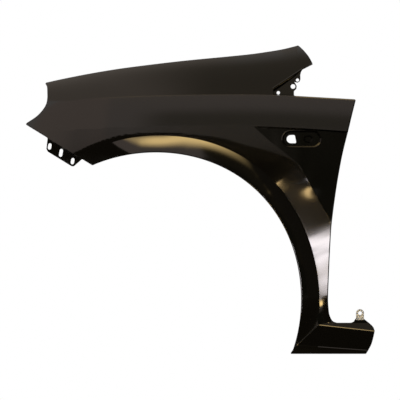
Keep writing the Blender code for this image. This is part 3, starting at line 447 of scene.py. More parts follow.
def side_level(x, z):
    """How far out the main panel stands, before the arch, scallop and sill are pressed into it."""
    ahead = np.clip(PLAN_START - x, 0, PLAN_RADIUS * math.sin(PLAN_TURN))
    level = np.sqrt(PLAN_RADIUS**2 - ahead**2) - PLAN_RADIUS
    above = z - shoulder_height(x)
    below = np.clip(-above, 0, CROWN_REACH)
    level = level - math.tan(CROWN_ANGLE) * (above + below**2 / (2 * CROWN_REACH))
    level = level + (math.tan(CROWN_ANGLE) + math.tan(LEAN_ANGLE)) * np.minimum(above + CROWN_REACH, 0)
    fade = np.clip((-x - SOFT_START) / (NOSE_REACH - SOFT_START), 0, 1)
    softness = SHOULDER_SOFT + (NOSE_SOFT - SHOULDER_SOFT) * fade
    low = math.tan(UPPER_LOW_ANGLE) - math.tan(CROWN_ANGLE)
    level = level - low * soft_ramp(above, softness)
    rise = np.maximum(hood_height(x) - shoulder_height(x), BEND_RADIUS)
    steepening = math.tan(UPPER_TOP_ANGLE) - math.tan(UPPER_LOW_ANGLE)
    return level - steepening * np.maximum(above, 0) ** 3 / (3 * rise**2)


def arch_level(x, z):
    """The undercut above the arch and the flared band beside it, added to the side level.

    The band is steepest at its crease and flattest at its lip, at slopes that follow the angle.
    """
    angle = np.arctan2(z, x)
    beyond = np.hypot(x, z) - crease_radius(angle)
    depth = BAND_DEPTH * by_angle(BAND_DEPTH_SHARES, angle)
    reach = UNDERCUT_REACH * by_angle(UNDERCUT_SHARES, angle)
    cove = by_angle(COVE_SHARES, angle)
    out = np.clip(beyond / reach, 0, 1)
    undercut = -depth * ((1 - cove) * (1 - out) ** 2 + cove * (1 - out**COVE_POWER))
    width = BAND_WIDTH * by_angle(BAND_WIDTH_SHARES, angle)
    inward = np.clip(-beyond / width, 0, 1)
    root = BAND_SLOPE * by_angle(BAND_ROOT_SHARES, angle)
    lip = BAND_SLOPE * by_angle(BAND_LIP_SHARES, angle)
    return undercut + width * (root * inward + (lip - root) * inward**2 / 2)


def scallop_level(x, z):
    """The scallop: a step under its top line that runs out at the apex and along its lower edge."""
    top = np.interp(x, *SCALLOP_TOP.T)
    last = SCALLOP_LOW[-1] - SCALLOP_LOW[-2 * CURVE_STEPS]
    foot_slope = last[1] / last[0]
    low = np.interp(x, *SCALLOP_LOW.T)
    low = low + foot_slope * np.maximum(x - SCALLOP_LOW[-1, 0], 0)
    depth = SCALLOP_DEPTH * np.clip((x - SCALLOP_START) / (DOOR_REACH - SCALLOP_START), 0, 1)
    height = np.maximum(top - low, SCALLOP_WALL)
    down = top - z
    floor = 1 - np.clip(down / height, 0, 1)
    return -depth * smoothstep(down / SCALLOP_WALL) * floor


def swell_level(x, z):
    """The low swelling beside the scallop's lower line."""
    off = np.hypot(x - SWELL_PLACE[0], z - SWELL_PLACE[1]) / SWELL_REACH
    return SWELL_HEIGHT * np.exp(-(off**2) / 2)


def pocket_distance(x, z, length, height, centre_x):
    """Distance inside a round-ended slot about the lamp's place, negative outside it."""
    half = (length - height) / 2
    along = np.abs(x - centre_x) - half
    return height / 2 - np.hypot(np.maximum(along, 0), z - LAMP_POCKET_Z)


def lamp_level(x, z):
    """The recess for the side lamp, with a deeper blind well at its rear."""
    inside = pocket_distance(x, z, *LAMP_POCKET)
    level = BEAD_RISE * bead(inside + BEAD_REACH / 2, BEAD_REACH)
    level = level - LAMP_POCKET_DEPTH * smoothstep(inside / LAMP_WALL)
    well = pocket_distance(x, z, *LAMP_WELL)
    return level - LAMP_WELL_DEPTH * smoothstep(well / LAMP_WALL)


def wedge_height(x):
    """The line at which the leg of the panel meets the sill foot."""
    rear = FOOT_HEIGHT + WEDGE_RISE_SLOPE * (x - FOOT_REACH)
    front = FOOT_HEIGHT - TOE_SLOPE * (FOOT_REACH - x)
    return np.where(x > FOOT_REACH, rear, front)


def sill_line_height(x):
    """The outermost line of the sill foot."""
    fall = SILL_LINE_FALL * (x - FOOT_REACH) / (SILL_REACH - FOOT_REACH)
    return np.where(x > FOOT_REACH, FOOT_HEIGHT - fall, wedge_height(x))


def sill_lower_height(x):
    share = (x - SILL_TOE_REACH) / (SILL_REACH - SILL_TOE_REACH)
    return -SILL_DROP + SILL_LOWER_TOE + (SILL_LOWER_HEEL - SILL_LOWER_TOE) * share


def sill_level(x, z):
    line = sill_line_height(x)
    shelf = np.clip(z, None, SILL_TOP) - line
    level = -SILL_LEVEL - math.tan(SHELF_ANGLE) * soft_ramp(shelf, CREASE_SOFT)
    level = level - math.tan(SILL_FACE_ANGLE) * np.maximum(line - z, 0)
    level = level + BEAD_RISE * bead(z - sill_lower_height(x) - BEAD_REACH, BEAD_REACH)
    return level - math.tan(SILL_LOWER_ANGLE) * soft_ramp(sill_lower_height(x) - z, CREASE_SOFT)


def skin_level(x, z):
    """How far out the skin stands, brackets left out."""
    level = side_level(x, z) + arch_level(x, z) + scallop_level(x, z) + lamp_level(x, z) + swell_level(x, z)
    above = z - wedge_height(x)
    share = smoothstep(1 - above / FOOT_BLEND)
    joint = sill_level(x, np.minimum(z, wedge_height(x)))
    return level * (1 - share) + joint * share


def below_bumper(x, z):
    """Distance below the bumper edge, square to it."""
    return right_of(NOSE, BUMPER_END, x, z)


def front_tab_level(x, z):
    """The flat front tab: set inboard of two places on the bumper edge, and leaning in below them."""
    ends = NOSE[0] + (BUMPER_END[0] - NOSE[0]) * np.array(FRONT_TAB_END_SHARES)
    levels = skin_level(ends, bumper_height(ends))
    slope = (levels[1] - levels[0]) / (ends[1] - ends[0])
    lean = math.tan(FRONT_TAB_LEAN) * below_bumper(x, z)
    return levels[0] + slope * (x - ends[0]) - FRONT_TAB_STEP - lean


def bead(off, reach):
    """A rounded ridge, one at its crest and nought from its reach on."""
    return (1 + np.cos(math.pi * np.clip(off / reach, -1, 1))) / 2


PILLAR_ROOT = np.array([PILLAR_ROOT_REACH, PILLAR_ROOT_HEIGHT])
PILLAR_TOP = np.array([PILLAR_TOP_REACH, PILLAR_TOP_HEIGHT])
NOTCH = np.array([NOTCH_REACH, float(shoulder_height(np.array(NOTCH_REACH)))])


def joggle_distance(x, z):
    """Distance into the pillar bracket, square to its joggle."""
    return right_of(PILLAR_ROOT, PILLAR_TOP, x, z)


def pillar_distance(x, z):
    """Distance into the pillar bracket from its joggle and from the shoulder."""
    return np.minimum(np.minimum(joggle_distance(x, z), x - PILLAR_ROOT[0]), z - shoulder_height(x))


def level(x, z):
    """How far out the whole sheet stands at a place in the X-Z plane."""
    x = np.asarray(x, float)
    z = np.asarray(z, float)
    out = skin_level(x, z)
    into_tab = smoothstep(below_bumper(x, z) / FRONT_TAB_WALL) * (x < BUMPER_END[0])
    out = out * (1 - into_tab) + front_tab_level(x, z) * into_tab
    web = -PILLAR_STEP - math.tan(UPPER_LOW_ANGLE) * (z - NOTCH[1])
    rim = bead(joggle_distance(x, z) + BEAD_REACH, BEAD_REACH)
    out = out + BEAD_RISE * rim * (x > PILLAR_ROOT[0])
    into_web = smoothstep(pillar_distance(x, z) / PILLAR_WALL)
    return out * (1 - into_web) + web * into_web


def below_edge_way():
    """The direction square to the bumper edge, toward the wheel."""
    return rightward(unit(BUMPER_END - NOSE))


def front_tab_place(along_share, down_share):
    start, end = FRONT_TAB_END_SHARES
    on_edge = NOSE + (BUMPER_END - NOSE) * (start + (end - start) * along_share)
    return on_edge + below_edge_way() * FRONT_TAB_DROP * down_share


def pillar_place(across_share, up_share):
    breadth = PILLAR_TOP[0] - PILLAR_ROOT[0]
    height = PILLAR_TOP[1] - NOTCH[1]
    return np.array([PILLAR_ROOT[0] + breadth * across_share, NOTCH[1] + height * up_share])


def edges():
    """The outline as edges in order, anticlockwise as the camera sees it, with their flange depths."""
    toe = ARCH[-1]
    sill_front = (SILL_TOE_REACH, -SILL_DROP)
    sill_rear = (SILL_REACH - SILL_HEEL_INSET, -SILL_DROP)
    sill_corner = (SILL_REACH, SILL_END_HEIGHT)
    tab_heights = (SILL_TOP, SILL_TOP + BEND_RADIUS, TAB_HEIGHT, TAB_HEIGHT, SILL_TOP - BEND_RADIUS)
    tab = list(zip(TAB_REACHES, tab_heights))[::-1]
    door_corner = (DOOR_REACH, DOOR_HEIGHT)
    tip = (TIP_REACH, TIP_HEIGHT)
    front_tab = [front_tab_place(*share) for share in FRONT_TAB_SHARES]
    pillar = [pillar_place(*share) for share in PILLAR_OUTLINE_SHARES]
    return [
        ([sill_front, sill_rear], SILL_FLANGE),
        (bow(sill_rear, sill_corner, SILL_END_SHARES), 0),
        (bow(sill_corner, tab[0], SILL_SLOPE_SHARES), 0),
        (tab, 0),
        ([tab[-1], HEEL], BUMPER_FLANGE),
        (bow(HEEL, DOOR_FOOT, HEEL_SHARES), BUMPER_FLANGE),
        (bow(DOOR_FOOT, door_corner, DOOR_SHARES), DOOR_FLANGE),
        ([door_corner, NOTCH], NOTCH_FLANGE),
        ([NOTCH, *pillar, PILLAR_TOP], 0),
        ([PILLAR_TOP, tip], 0),
        (bow(tip, (CREST_REACH, CREST_HEIGHT), REAR_SHARES), REAR_FLANGE),
        (HOOD, HOOD_WALL),
        (bow((-LAMP_REACH, LAMP_HEIGHT), NOSE, LAMP_SHARES), LAMP_FLANGE),
        ([NOSE, front_tab[0]], BUMPER_FLANGE),
        (front_tab, 0),
        ([front_tab[-1], BUMPER_END], BUMPER_FLANGE),
        (ARCH, ARCH_FLANGE),
        ([toe, sill_front], 0),
    ]


def corner_arc(before, corner, after):
    """How much of each side a rounded corner takes, its points, and the share of flange that goes round."""
    into = unit(corner - before[-2])
    away = unit(after[1] - corner)
    turn = abs(math.atan2(into[0] * away[1] - into[1] * away[0], float(into @ away)))
    if turn < LEAST_CORNER:
        return 0.0, [corner], 1
    trim = CORNER_RADIUS * math.tan(min(turn, ARC_LIMIT) / 2)
    trim = min(trim, CORNER_TRIM_SHARE * run(before)[-1], CORNER_TRIM_SHARE * run(after)[-1])
    start = corner - into * trim
    end = corner + away * trim
    steps = np.linspace(0, 1, 2 + math.ceil(turn / ARC_STEP))
    arc = [start * (1 - t) ** 2 + corner * 2 * t * (1 - t) + end * t**2 for t in steps]
    return trim, arc, CORNER_DEPTH_SHARE if turn < SHARPEST_FOLD else 0


def shorten(points, at_start, at_end):
    """A line of points with a length taken off each end."""
    along = run(points)
    places = [at_start, *(s for s in along if at_start < s < along[-1] - at_end), along[-1] - at_end]
    return at_lengths(points, places)


def outline():
    """The whole outline as points, with each point's flange depth and how far its edge is rolled over."""
    pieces = []
    for points, flange in edges():
        if isinstance(points, np.ndarray):
            pieces.append((points, flange))
            continue
        for a, b in zip(points, points[1:]):
            pieces.append((np.array([a, b], float), flange))
    corners = [corner_arc(pieces[k - 1][0], pieces[k][0][0], pieces[k][0]) for k in range(len(pieces))]
    places = []
    knots = []
    length = 0.0
    for k, (points, flange) in enumerate(pieces):
        trim, arc, depth_share = corners[k]
        side = resample(shorten(points, trim, corners[(k + 1) % len(pieces)][0]), EDGE_STEP)
        before = pieces[k - 1][1]
        arc_length = run(np.array(arc))[-1]
        side_length = run(side)[-1]
        taper = min(CORNER_TAPER, side_length / 2)
        corner_depth = min(before, flange) * depth_share
        folded = int(flange == HOOD_WALL)
        knots.append((length + arc_length / 2, corner_depth, 0))
        knots.append((length + arc_length + taper, flange, folded))
        knots.append((length + arc_length + side_length - taper, flange, folded))
        places += arc[:-1]
        places += list(side[:-1])
        length += arc_length + side_length
    places = np.array(places)
    along = run(places)
    at, depths, folds = np.array(sorted(knots)).T
    return places, np.interp(along, at, depths, period=length), np.interp(along, at, folds, period=length)


def outward(points):
    """The outer side's direction at each point of a closed anticlockwise outline."""
    after = unit(np.roll(points, -1, axis=0) - points)
    return rightward(unit(after + np.roll(after, 1, axis=0)))


def rolled_edge():
    """Rows of points from the skin's edge round the bend to the end of the flange, with their X, Y and Z."""
    places, depth, fold = outline()
    depth = np.where(depth < GAUGE, 0, depth)
    side = outward(places)
    radius = BEND_RADIUS * np.clip(depth / (CORNER_DEPTH_SHARE * BUMPER_FLANGE), 0, 1)
    near = places - side * BEND_RADIUS / 2
    far = near - side * BEND_RADIUS / 2
    fall = np.arctan2(level(*far.T) - level(*near.T), BEND_RADIUS / 2)
    fall = np.clip(fall, 0, STEEPEST_EDGE)
    skin_edge = places - side * (radius * (1 - np.sin(fall)))[:, None]
    base = level(*skin_edge.T)
    end = math.pi / 2 * (1 + fold)
    rows = [space(skin_edge, -base)]
    for k in range(1, BEND_STEPS + 1):
        turn = fall + (end - fall) * k / BEND_STEPS
        out = radius * (np.sin(turn) - np.sin(fall))
        back = radius * (np.cos(fall) - np.cos(turn))
        rows.append(space(skin_edge + side * out[:, None], -base + back))
    reach = np.maximum(depth - radius, 0)
    place = rows[-1][:, [0, 2]] + side * (reach * np.cos(end))[:, None]
    rows.append(space(place, rows[-1][:, 1] + reach * np.sin(end)))
    return rows, depth, fold


def inside(loop, points):
    """Which points lie inside a closed loop."""
    x, z = points[:, 0][:, None], points[:, 1][:, None]
    x0, z0 = loop.T
    x1, z1 = np.roll(loop, -1, axis=0).T
    across = (z0 > z) != (z1 > z)
    with np.errstate(divide="ignore", invalid="ignore"):
        cut = x0 + (z - z0) * (x1 - x0) / (z1 - z0)
    return (across & (x < cut)).sum(axis=1) % 2 == 1


def nearest(points, others):
    """Distance from each point to the nearest of the others."""
    out = np.full(len(points), np.inf)
    for start in range(0, len(others), BATCH):
        gap = points[:, None, :] - others[None, start:start + BATCH, :]
        out = np.minimum(out, np.sqrt((gap**2).sum(axis=2)).min(axis=1))
    return out


def fit_line(line, loop, step):
    """The part of a crease line inside the loop, ended on the loop's own points."""
    line = resample(line, step)
    fence = resample(np.vstack([loop, loop[:1]]), step / 3)
    clear = nearest(line, fence) > step * CREASE_CLEAR_SHARE
    keep = inside(loop, line) & clear
    kept = line[keep]
    if len(kept) < 2:
        return kept
    out = list(kept)
    for end, place in ((0, 0), (-1, len(out))):
        gap = np.hypot(*(loop - kept[end]).T)
        if gap.min() < step * CREASE_REACH_SHARE:
            out.insert(place if end == 0 else len(out), loop[int(gap.argmin())])
    return np.array(out)


def triangulate(loop, holes, lines, step):
    """Triangles that fill a loop round its holes, follow its lines and are even in between."""
    fences = [np.vstack([loop, loop[:1]]), *(np.vstack([h, h[:1]]) for h in holes), *lines]
    near = np.vstack([resample(fence, step / 3) for fence in fences])
    low, high = loop.min(axis=0), loop.max(axis=0)
    row_gap = step * math.sqrt(3) / 2
    lattice = []
    for row, z in enumerate(np.arange(low[1], high[1], row_gap)):
        xs = np.arange(low[0] + step / 2 * (row % 2), high[0], step)
        lattice.append(np.stack([xs, np.full(len(xs), z)], axis=1))
    lattice = np.vstack(lattice)
    lattice = lattice[inside(loop, lattice)]
    lattice = lattice[nearest(lattice, near) > LATTICE_CLEAR_SHARE * step]
    points = []
    joins = []
    for fence in fences:
        first = len(points)
        closed = np.allclose(fence[0], fence[-1])
        ring = fence[:-1] if closed else fence
        points += list(ring)
        joins += [(first + k, first + k + 1) for k in range(len(ring) - 1)]
        if closed:
            joins.append((first + len(ring) - 1, first))
    points += list(lattice)
    made = delaunay_2d_cdt([Vector(p) for p in points], joins, [], 0, WELD / 100)
    places = np.array([tuple(v) for v in made[0]])
    faces = np.array([tuple(f) for f in made[2]])
    middles = places[faces].mean(axis=1)
    keep = inside(loop, middles)
    for hole in holes:
        keep &= ~inside(hole, middles)
    return places, faces[keep]


def round_hole(centre, radius):
    count = max(8, math.ceil(2 * math.pi * radius / HOLE_STEP))
    angle = np.linspace(0, 2 * math.pi, count, endpoint=False)
    return np.array(centre) + polar(radius, angle)


def slot_hole(centre, length, width, tilt):
    """A round-ended slot whose long way leans by the tilt from square to the bumper edge."""
    way = below_edge_way()
    up = np.array([-way[0] * math.cos(tilt) - way[1] * math.sin(tilt),
                   way[0] * math.sin(tilt) - way[1] * math.cos(tilt)])
    turns = polar(width / 2, np.linspace(0, math.pi, 5))
    end = up * (length - width) / 2 + turns @ np.array([rightward(up), up])
    return np.array(centre) + np.vstack([end, -end])


def pocket_ring(length, height, centre_x, inset, step):
    """The outline of a pocket about the lamp's place, set in from its edge."""
    half = (length - height) / 2
    radius = height / 2 - inset
    count = max(6, math.ceil(math.pi * radius / step))
    angle = np.linspace(-math.pi / 2, math.pi / 2, count + 1)
    right = np.array([centre_x + half, LAMP_POCKET_Z]) + polar(radius, angle)
    left = np.array([centre_x - half, LAMP_POCKET_Z]) - polar(radius, angle)
    return resample(np.vstack([right, left, right[:1]]), step)


def lamp_hole():
    """The lamp's own hole, round at its front and cut off on a slant at its rear."""
    centre = LAMP_POCKET_X - LAMP_HOLE_OFFSET
    half = LAMP_HOLE_HEIGHT / 2
    angle = np.linspace(math.radians(90), math.radians(270), 9)
    front = centre - LAMP_HOLE_WIDTH / 2 + half
    curve = np.array([front, LAMP_POCKET_Z]) + polar(half, angle)
    rear = centre + LAMP_HOLE_WIDTH / 2
    slant = [(rear - half * inset, LAMP_POCKET_Z + half * up) for inset, up in LAMP_HOLE_SHARES]
    return np.vstack([curve, slant])


def skin_holes():
    holes = [lamp_hole()]
    lengths = (SLOT_SHORT, SLOT_LONG, SLOT_SHORT)
    for (along, down), length in zip(SLOT_SHARES, lengths):
        holes.append(slot_hole(front_tab_place(along, down), length, SLOT_WIDTH, SLOT_TILT))
    for share, radius in zip(PILLAR_HOLE_SHARES, PILLAR_HOLE_RADII):
        holes.append(round_hole(pillar_place(*share), radius))
    return holes


def offset_line(points, distance):
    """A line moved to the right of its own direction."""
    points = np.array(points, float)
    return points + distance * rightward(unit(np.gradient(points, axis=0)))


def at_height(xs, height):
    """Points at places along X, at the heights that a function gives there."""
    return np.stack([xs, height(xs)], axis=1)


def crease_lines(loop):
    """The lines that the triangles follow: creases, joggles, walls and the edges of recesses."""
    full, half, fine = EDGE_STEP, EDGE_STEP / 2, EDGE_STEP / 3
    shoulder = at_height(np.linspace(-SOFT_START, PILLAR_ROOT_REACH - PILLAR_WALL, 40), shoulder_height)
    foot_angle = math.atan2(FOOT_HEIGHT, FOOT_REACH)
    crease, *rings = [around(lambda angle, out=share: crease_radius(angle) + BAND_WIDTH * out,
                             ARCH_FRONT_ANGLE, foot_angle) for share in (0, *BAND_RING_SHARES)]
    bumper = np.array([front_tab_place(-TAB_OVERRUN_SHARE, 0), front_tab_place(1 + TAB_OVERRUN_SHARE, 0)])
    xs = np.linspace(SILL_TOE_REACH, SILL_REACH, 30)
    wedge = at_height(xs, wedge_height)
    sill_line = at_height(xs[xs > FOOT_REACH], sill_line_height)
    lower = at_height(xs, sill_lower_height)
    tab_fold = np.array([[TAB_REACHES[0], SILL_TOP - GAUGE], [TAB_REACHES[4], SILL_TOP - GAUGE]])
    joggle = np.array([PILLAR_TOP, PILLAR_ROOT, (PILLAR_ROOT[0], shoulder_height(PILLAR_ROOT[0])), NOTCH])
    inward = PILLAR_WALL * np.array(JOGGLE_OFFSET_SHARES)
    lines = [(shoulder, full), (crease, full), (SCALLOP_TOP, half),
             (SCALLOP_TOP[SCALLOP_CLEAR:] - np.array([0, SCALLOP_WALL]), half), (SCALLOP_LOW, full),
             (bumper, half), (offset_line(bumper, FRONT_TAB_WALL), half), (wedge, full), (sill_line, full),
             (lower, full), (tab_fold, half), (joggle, fine), (joggle + inward, fine)]
    lines += [(ring, full) for ring in rings]
    for fold in (shoulder, crease, wedge, sill_line, lower, bumper, SCALLOP_LOW):
        lines += [(offset_line(fold, side * FOLD_MARGIN), half) for side in (-1, 1)]
    lines.append((joggle + inward / 2, fine))
    lines += [(offset_line(joggle[:2], BEAD_REACH * share), fine) for share in BEAD_SHARES]
    lines += [(lower + np.array([0, BEAD_REACH * share]), fine) for share in BEAD_SHARES]
    out = [fit_line(line, loop, step) for line, step in lines]
    for pocket in (LAMP_POCKET, LAMP_WELL):
        out.append(pocket_ring(*pocket, 0, half))
        out.append(pocket_ring(*pocket, LAMP_WALL, LAMP_STEP))
    out += [pocket_ring(*LAMP_POCKET, BEAD_REACH * share, LAMP_STEP) for share in LAMP_BEAD_SHARES]
    return [line for line in out if len(line) > 1]


def add_faces(sheet, points, faces):
    corners = [sheet.verts.new(point) for point in points]
    for face in faces:
        sheet.faces.new([corners[k] for k in face])


def add_strip(sheet, upper, lower):
    """Joins two closed rows of points with faces, on the outer side of the upper row."""
    count = len(upper)
    faces = [((k + 1) % count, k, k + count, (k + 1) % count + count) for k in range(count)]
    add_faces(sheet, np.vstack([upper, lower]), faces)


def pad_share(x, pads):
    """One on a bolt pad, falling to zero between the pads."""
    gap = np.min([np.abs(x - pad) for pad in pads], axis=0)
    return smoothstep((PAD_REACH_SHARE - gap / LEDGE_PAD) / PAD_EASE_SHARE)


def pad_places():
    return [CREST_REACH - share * (CREST_REACH + LAMP_REACH) for share in LEDGE_PAD_SHARES]


def flatten_pads(root, pads):
    """Sets the ledge's root at one height along each bolt pad, so that the pad is level."""
    for pad in pads:
        on = np.abs(root[:, 0] - pad) < LEDGE_PAD * PAD_FLAT_SHARE
        root[on, 2] = on_line(pad, root, 2)
    return root


def add_ledge(sheet, root, pads):
    """The ledge that runs inboard from the foot of the hood wall, wide at its bolt pads."""
    width = LEDGE_NECK + (LEDGE_WIDTH - LEDGE_NECK) * pad_share(root[:, 0], pads)
    width[[0, -1]] *= LEDGE_END_SHARE
    inner = root[:, :2] + np.stack([np.zeros(len(root)), width], axis=1)
    loop = np.vstack([root[:, :2][::-1], inner])
    holes = []
    for pad in pads:
        holes.append(round_hole((pad, on_line(pad, root) + LEDGE_WIDTH * BOLT_PLACE_SHARE), BOLT_RADIUS))
    lines = []
    for k in range(1, len(root) - 1):
        if pad_share(root[k, 0], pads) < 0.5:
            lines.append(np.array([root[k, :2], inner[k]]))
    places, faces = triangulate(loop[::-1], holes, lines, LEDGE_WIDTH)
    add_faces(sheet, np.column_stack([places, on_line(places[:, 0], root, 2)]), faces)


def fender_sheet():
    """The pressed sheet as a surface, and the place under the middle bolt pad that it is held by."""
    rows, depth, fold = rolled_edge()
    pads = pad_places()
    on_hood = np.where(fold > 0.999)[0]
    rows[-1][on_hood] = flatten_pads(rows[-1][on_hood].copy(), pads)
    loop = rows[0][:, [0, 2]]
    places, faces = triangulate(loop, skin_holes(), crease_lines(loop), EDGE_STEP)
    sheet = bmesh.new()
    add_faces(sheet, space(places, -level(*places.T)), faces)
    for upper, lower in zip(rows, rows[1:]):
        add_strip(sheet, upper, lower)
    root = rows[-1][on_hood]
    add_ledge(sheet, root, pads)
    mount = [pads[1] + LEDGE_PAD * MOUNT_SIDE_SHARE, 0, 0]
    mount[1] = on_line(mount[0], root) + LEDGE_WIDTH * BOLT_PLACE_SHARE
    mount[2] = on_line(pads[1], root, 2) - GAUGE
    bmesh.ops.remove_doubles(sheet, verts=sheet.verts, dist=WELD)
    bmesh.ops.dissolve_degenerate(sheet, dist=WELD, edges=sheet.edges)
    bmesh.ops.triangulate(sheet, faces=sheet.faces)
    return sheet, mount


# Size of the steps by which the surface's slopes are measured, and how far inside a face they are
PROBE = 0.0002
PROBE_INSET = 0.0004
# Turn past which a corner's exact normal belongs to the face across a fold
FOLD_TURN = math.radians(5)
# Middle of the solids' box in Y, and how thin the pieces are drawn about it
BOX_MIDDLE = -0.0302
BOX_SHARE = 0.9938

# Camera: the photograph's width and its middle, measured from the wheel centre
PHOTO_WIDTH = 1.000
PHOTO_MIDDLE = (0.1125, 0.24625)
CAMERA_REACH = 6.0

# Studio
FLOOR_SIZE = 14.0
FLOOR_GAP = 0.0005
ROOM_LIGHT = 0.5
# Turns about X, Y and Z, in degrees, from lying flat
FLAT = (0, 0, 0)
UPRIGHT = (90, 0, 0)
SIDEWAYS = (90, 0, 90)
# Cards seen only in gloss: centre, width, height, turn, colour, and the shares over which sides and
# ends fade
CARDS = {
    "backdrop": ((5.0, -9.0, 4.0), 22.0, 16.0, UPRIGHT, (0.85, 0.78, 0.74)),
    "backdrop_front": ((-12.0, -9.0, 4.0), 12.0, 16.0, UPRIGHT, (1.0, 0.87, 0.80)),
    "flag_horizon": ((2.0, -7.5, 0.0), 12.0, 2.6, UPRIGHT, (0.42, 0.39, 0.33), (0.2, 0.35)),
    "flag_low_right": ((4.6, -6.6, 0.1), 8.0, 2.4, UPRIGHT, (0.05, 0.05, 0.03), (0.04, 0.2)),
    "flag_front_right": ((5.2, -7.0, 2.2), 9.0, 6.0, UPRIGHT, (0.09, 0.08, 0.05), (0.05, 0.05)),
    "flag_right": ((5.0, -2.5, 4.2), 11.0, 10.0, SIDEWAYS, (0.08, 0.07, 0.05)),
    "flag_top": ((2.3, -1.5, 5.0), 9.0, 9.0, FLAT, (0.38, 0.34, 0.27), (0.28, 0.33)),
    "flag_top_left": ((-4.5, -1.5, 5.2), 9.0, 9.0, FLAT, (0.84, 0.75, 0.66)),
    "flag_shelf": ((-0.45, -0.86, -0.296), 1.5, 1.48, FLAT, (0.06, 0.05, 0.03), (0.02, 0.05)),
    "warm_strip": ((-0.16, -1.6, 0.99), 2.80, 1.18, UPRIGHT, (14.5, 11.0, 4.9), (0.33, 0.45)),
    "leg_card": ((-0.44, -1.96, -0.52), 0.38, 0.36, UPRIGHT, (28, 28, 30.5), (0.3, 0.33)),
    "foot_card": ((-0.09, -2.02, -0.62), 0.44, 0.34, UPRIGHT, (28, 21, 9.4), (0.3, 0.3)),
    "eyelet_card": ((0.17, -1.90, -0.60), 0.16, 0.26, UPRIGHT, (0.95, 0.96, 0.98)),
}
# The same for cards that lie on the floor, at heights above it
FLOOR_CARDS = {
    "flag_floor": ((4.0, -1.0, 0.002), 14.0, 12.0, FLAT, (0.06, 0.05, 0.03), (0.22, 0.3)),
    "spot_card": ((-0.135, -1.13, 0.004), 0.18, 0.24, FLAT, (27, 20, 9.4), (0.4, 0.45)),
}
# Lamps: start, end and radiance, their common breadth, and the place that they face
LAMPS = {
    "key_lamp": ((-1.6, -3.0, 2.2), (0.2, -3.6, 2.4), 1.6),
    "fill_lamp": ((1.2, -3.2, 1.6), (2.4, -2.4, 1.6), 0.9),
}
LAMP_BREADTH = 1.2
LAMP_TARGET = Vector((0, -0.1, -0.3))


def slopes(x, z):
    """How fast the pressed surface comes outward along X and along Z."""
    along = (level(x + PROBE, z) - level(x - PROBE, z)) / (2 * PROBE)
    upward = (level(x, z + PROBE) - level(x, z - PROBE)) / (2 * PROBE)
    return along, upward


def skin_normals(places, centres):
    """Normals just inside the faces at the corners on the pressed surface, and zero at the others."""
    x, y, z = places.T
    on_skin = np.abs(y + level(x, z)) < WELD
    inward = centres - places
    reach = np.linalg.norm(inward, axis=1)
    inset = places + inward * np.minimum(PROBE_INSET / np.maximum(reach, WELD), 1)[:, None]
    along, upward = slopes(inset[:, 0], inset[:, 2])
    normals = np.stack([-along, -np.ones(len(x)), -upward], axis=1)
    normals /= np.linalg.norm(normals, axis=1)[:, None]
    return normals * on_skin[:, None]


def read_all(items, name, width=1, kind=np.float32):
    """One measure of all of a mesh's items, with a row for each of them."""
    out = np.zeros(len(items) * width, kind)
    items.foreach_get(name, out)
    return out.reshape(-1, width)


def true_normals(mesh, vertex_count, face_count):
    """Gives both faces of the sheet the exact normals of its shape, away from its rolled edges."""
    places = read_all(mesh.vertices, "co", 3).astype(float)
    corner_vertex = read_all(mesh.loops, "vertex_index", kind=int)[:, 0]
    totals = read_all(mesh.polygons, "loop_total", kind=int)[:, 0]
    face = np.repeat(np.arange(len(totals)), totals)
    corners = np.zeros((len(corner_vertex), 3))
    flat = read_all(mesh.polygons, "normal", 3)[face]
    outer = face < face_count
    inner = (face >= face_count) & (face < 2 * face_count)
    for chosen, side in ((outer, 1), (inner, -1)):
        at = places[corner_vertex[chosen] % vertex_count]
        centres = at.reshape(-1, 3, 3).mean(axis=1).repeat(3, axis=0)
        exact = side * skin_normals(at, centres)
        across = (exact * flat[chosen]).sum(axis=1) < math.cos(FOLD_TURN)
        folded = across & (np.abs(exact).sum(axis=1) > 0)
        corners[chosen] = np.where(folded[:, None], flat[chosen], exact)
    mesh.normals_split_custom_set(corners.tolist())


def add_object(name, data):
    made = bpy.data.objects.new(name, data)
    bpy.context.scene.collection.objects.link(made)
    return made


def add_piece(name, sheet, gauge, material, place):
    """A sheet with its gauge, drawn as a piece of the fender at its place in the frame."""
    mesh = bpy.data.meshes.new(name)
    sheet.to_mesh(mesh)
    vertex_count = len(sheet.verts)
    face_count = len(sheet.faces)
    sheet.free()
    piece = add_object(name, mesh)
    solid = piece.modifiers.new("gauge", "SOLIDIFY")
    solid.thickness = gauge
    solid.offset = -1
    solid.use_even_offset = True
    graph = bpy.context.evaluated_depsgraph_get()
    made = bpy.data.meshes.new_from_object(piece.evaluated_get(graph))
    piece.modifiers.clear()
    piece.data = made
    made.materials.append(material)
    made.shade_smooth()
    made.set_sharp_from_angle(angle=SHARP_EDGE)
    true_normals(made, vertex_count, face_count)
    piece.location = place
    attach(piece, "root")
    return piece


def new_material(name):
    material = bpy.data.materials.new(name)
    material.use_nodes = True
    tree = material.node_tree
    return material, tree, tree.nodes["Principled BSDF"]


def add_node(tree, kind, inputs, **settings):
    """A shader node with its settings, and its inputs joined to sockets or set to plain values."""
    node = tree.nodes.new("ShaderNode" + kind)
    for name, value in settings.items():
        setattr(node, name, value)
    for name, value in inputs.items():
        if isinstance(value, bpy.types.NodeSocket):
            tree.links.new(value, node.inputs[name])
        else:
            node.inputs[name].default_value = value
    return node


def noise(tree, scale, detail=2.0, stretch=(1, 1, 1)):
    """Noise in the piece's own metres, squeezed along its axes by the stretch."""
    place = add_node(tree, "TexCoord", {}).outputs["Object"]
    place = add_node(tree, "Mapping", {"Vector": place, "Scale": stretch}).outputs["Vector"]
    return add_node(tree, "TexNoise", {"Vector": place, "Scale": scale, "Detail": detail}).outputs["Fac"]


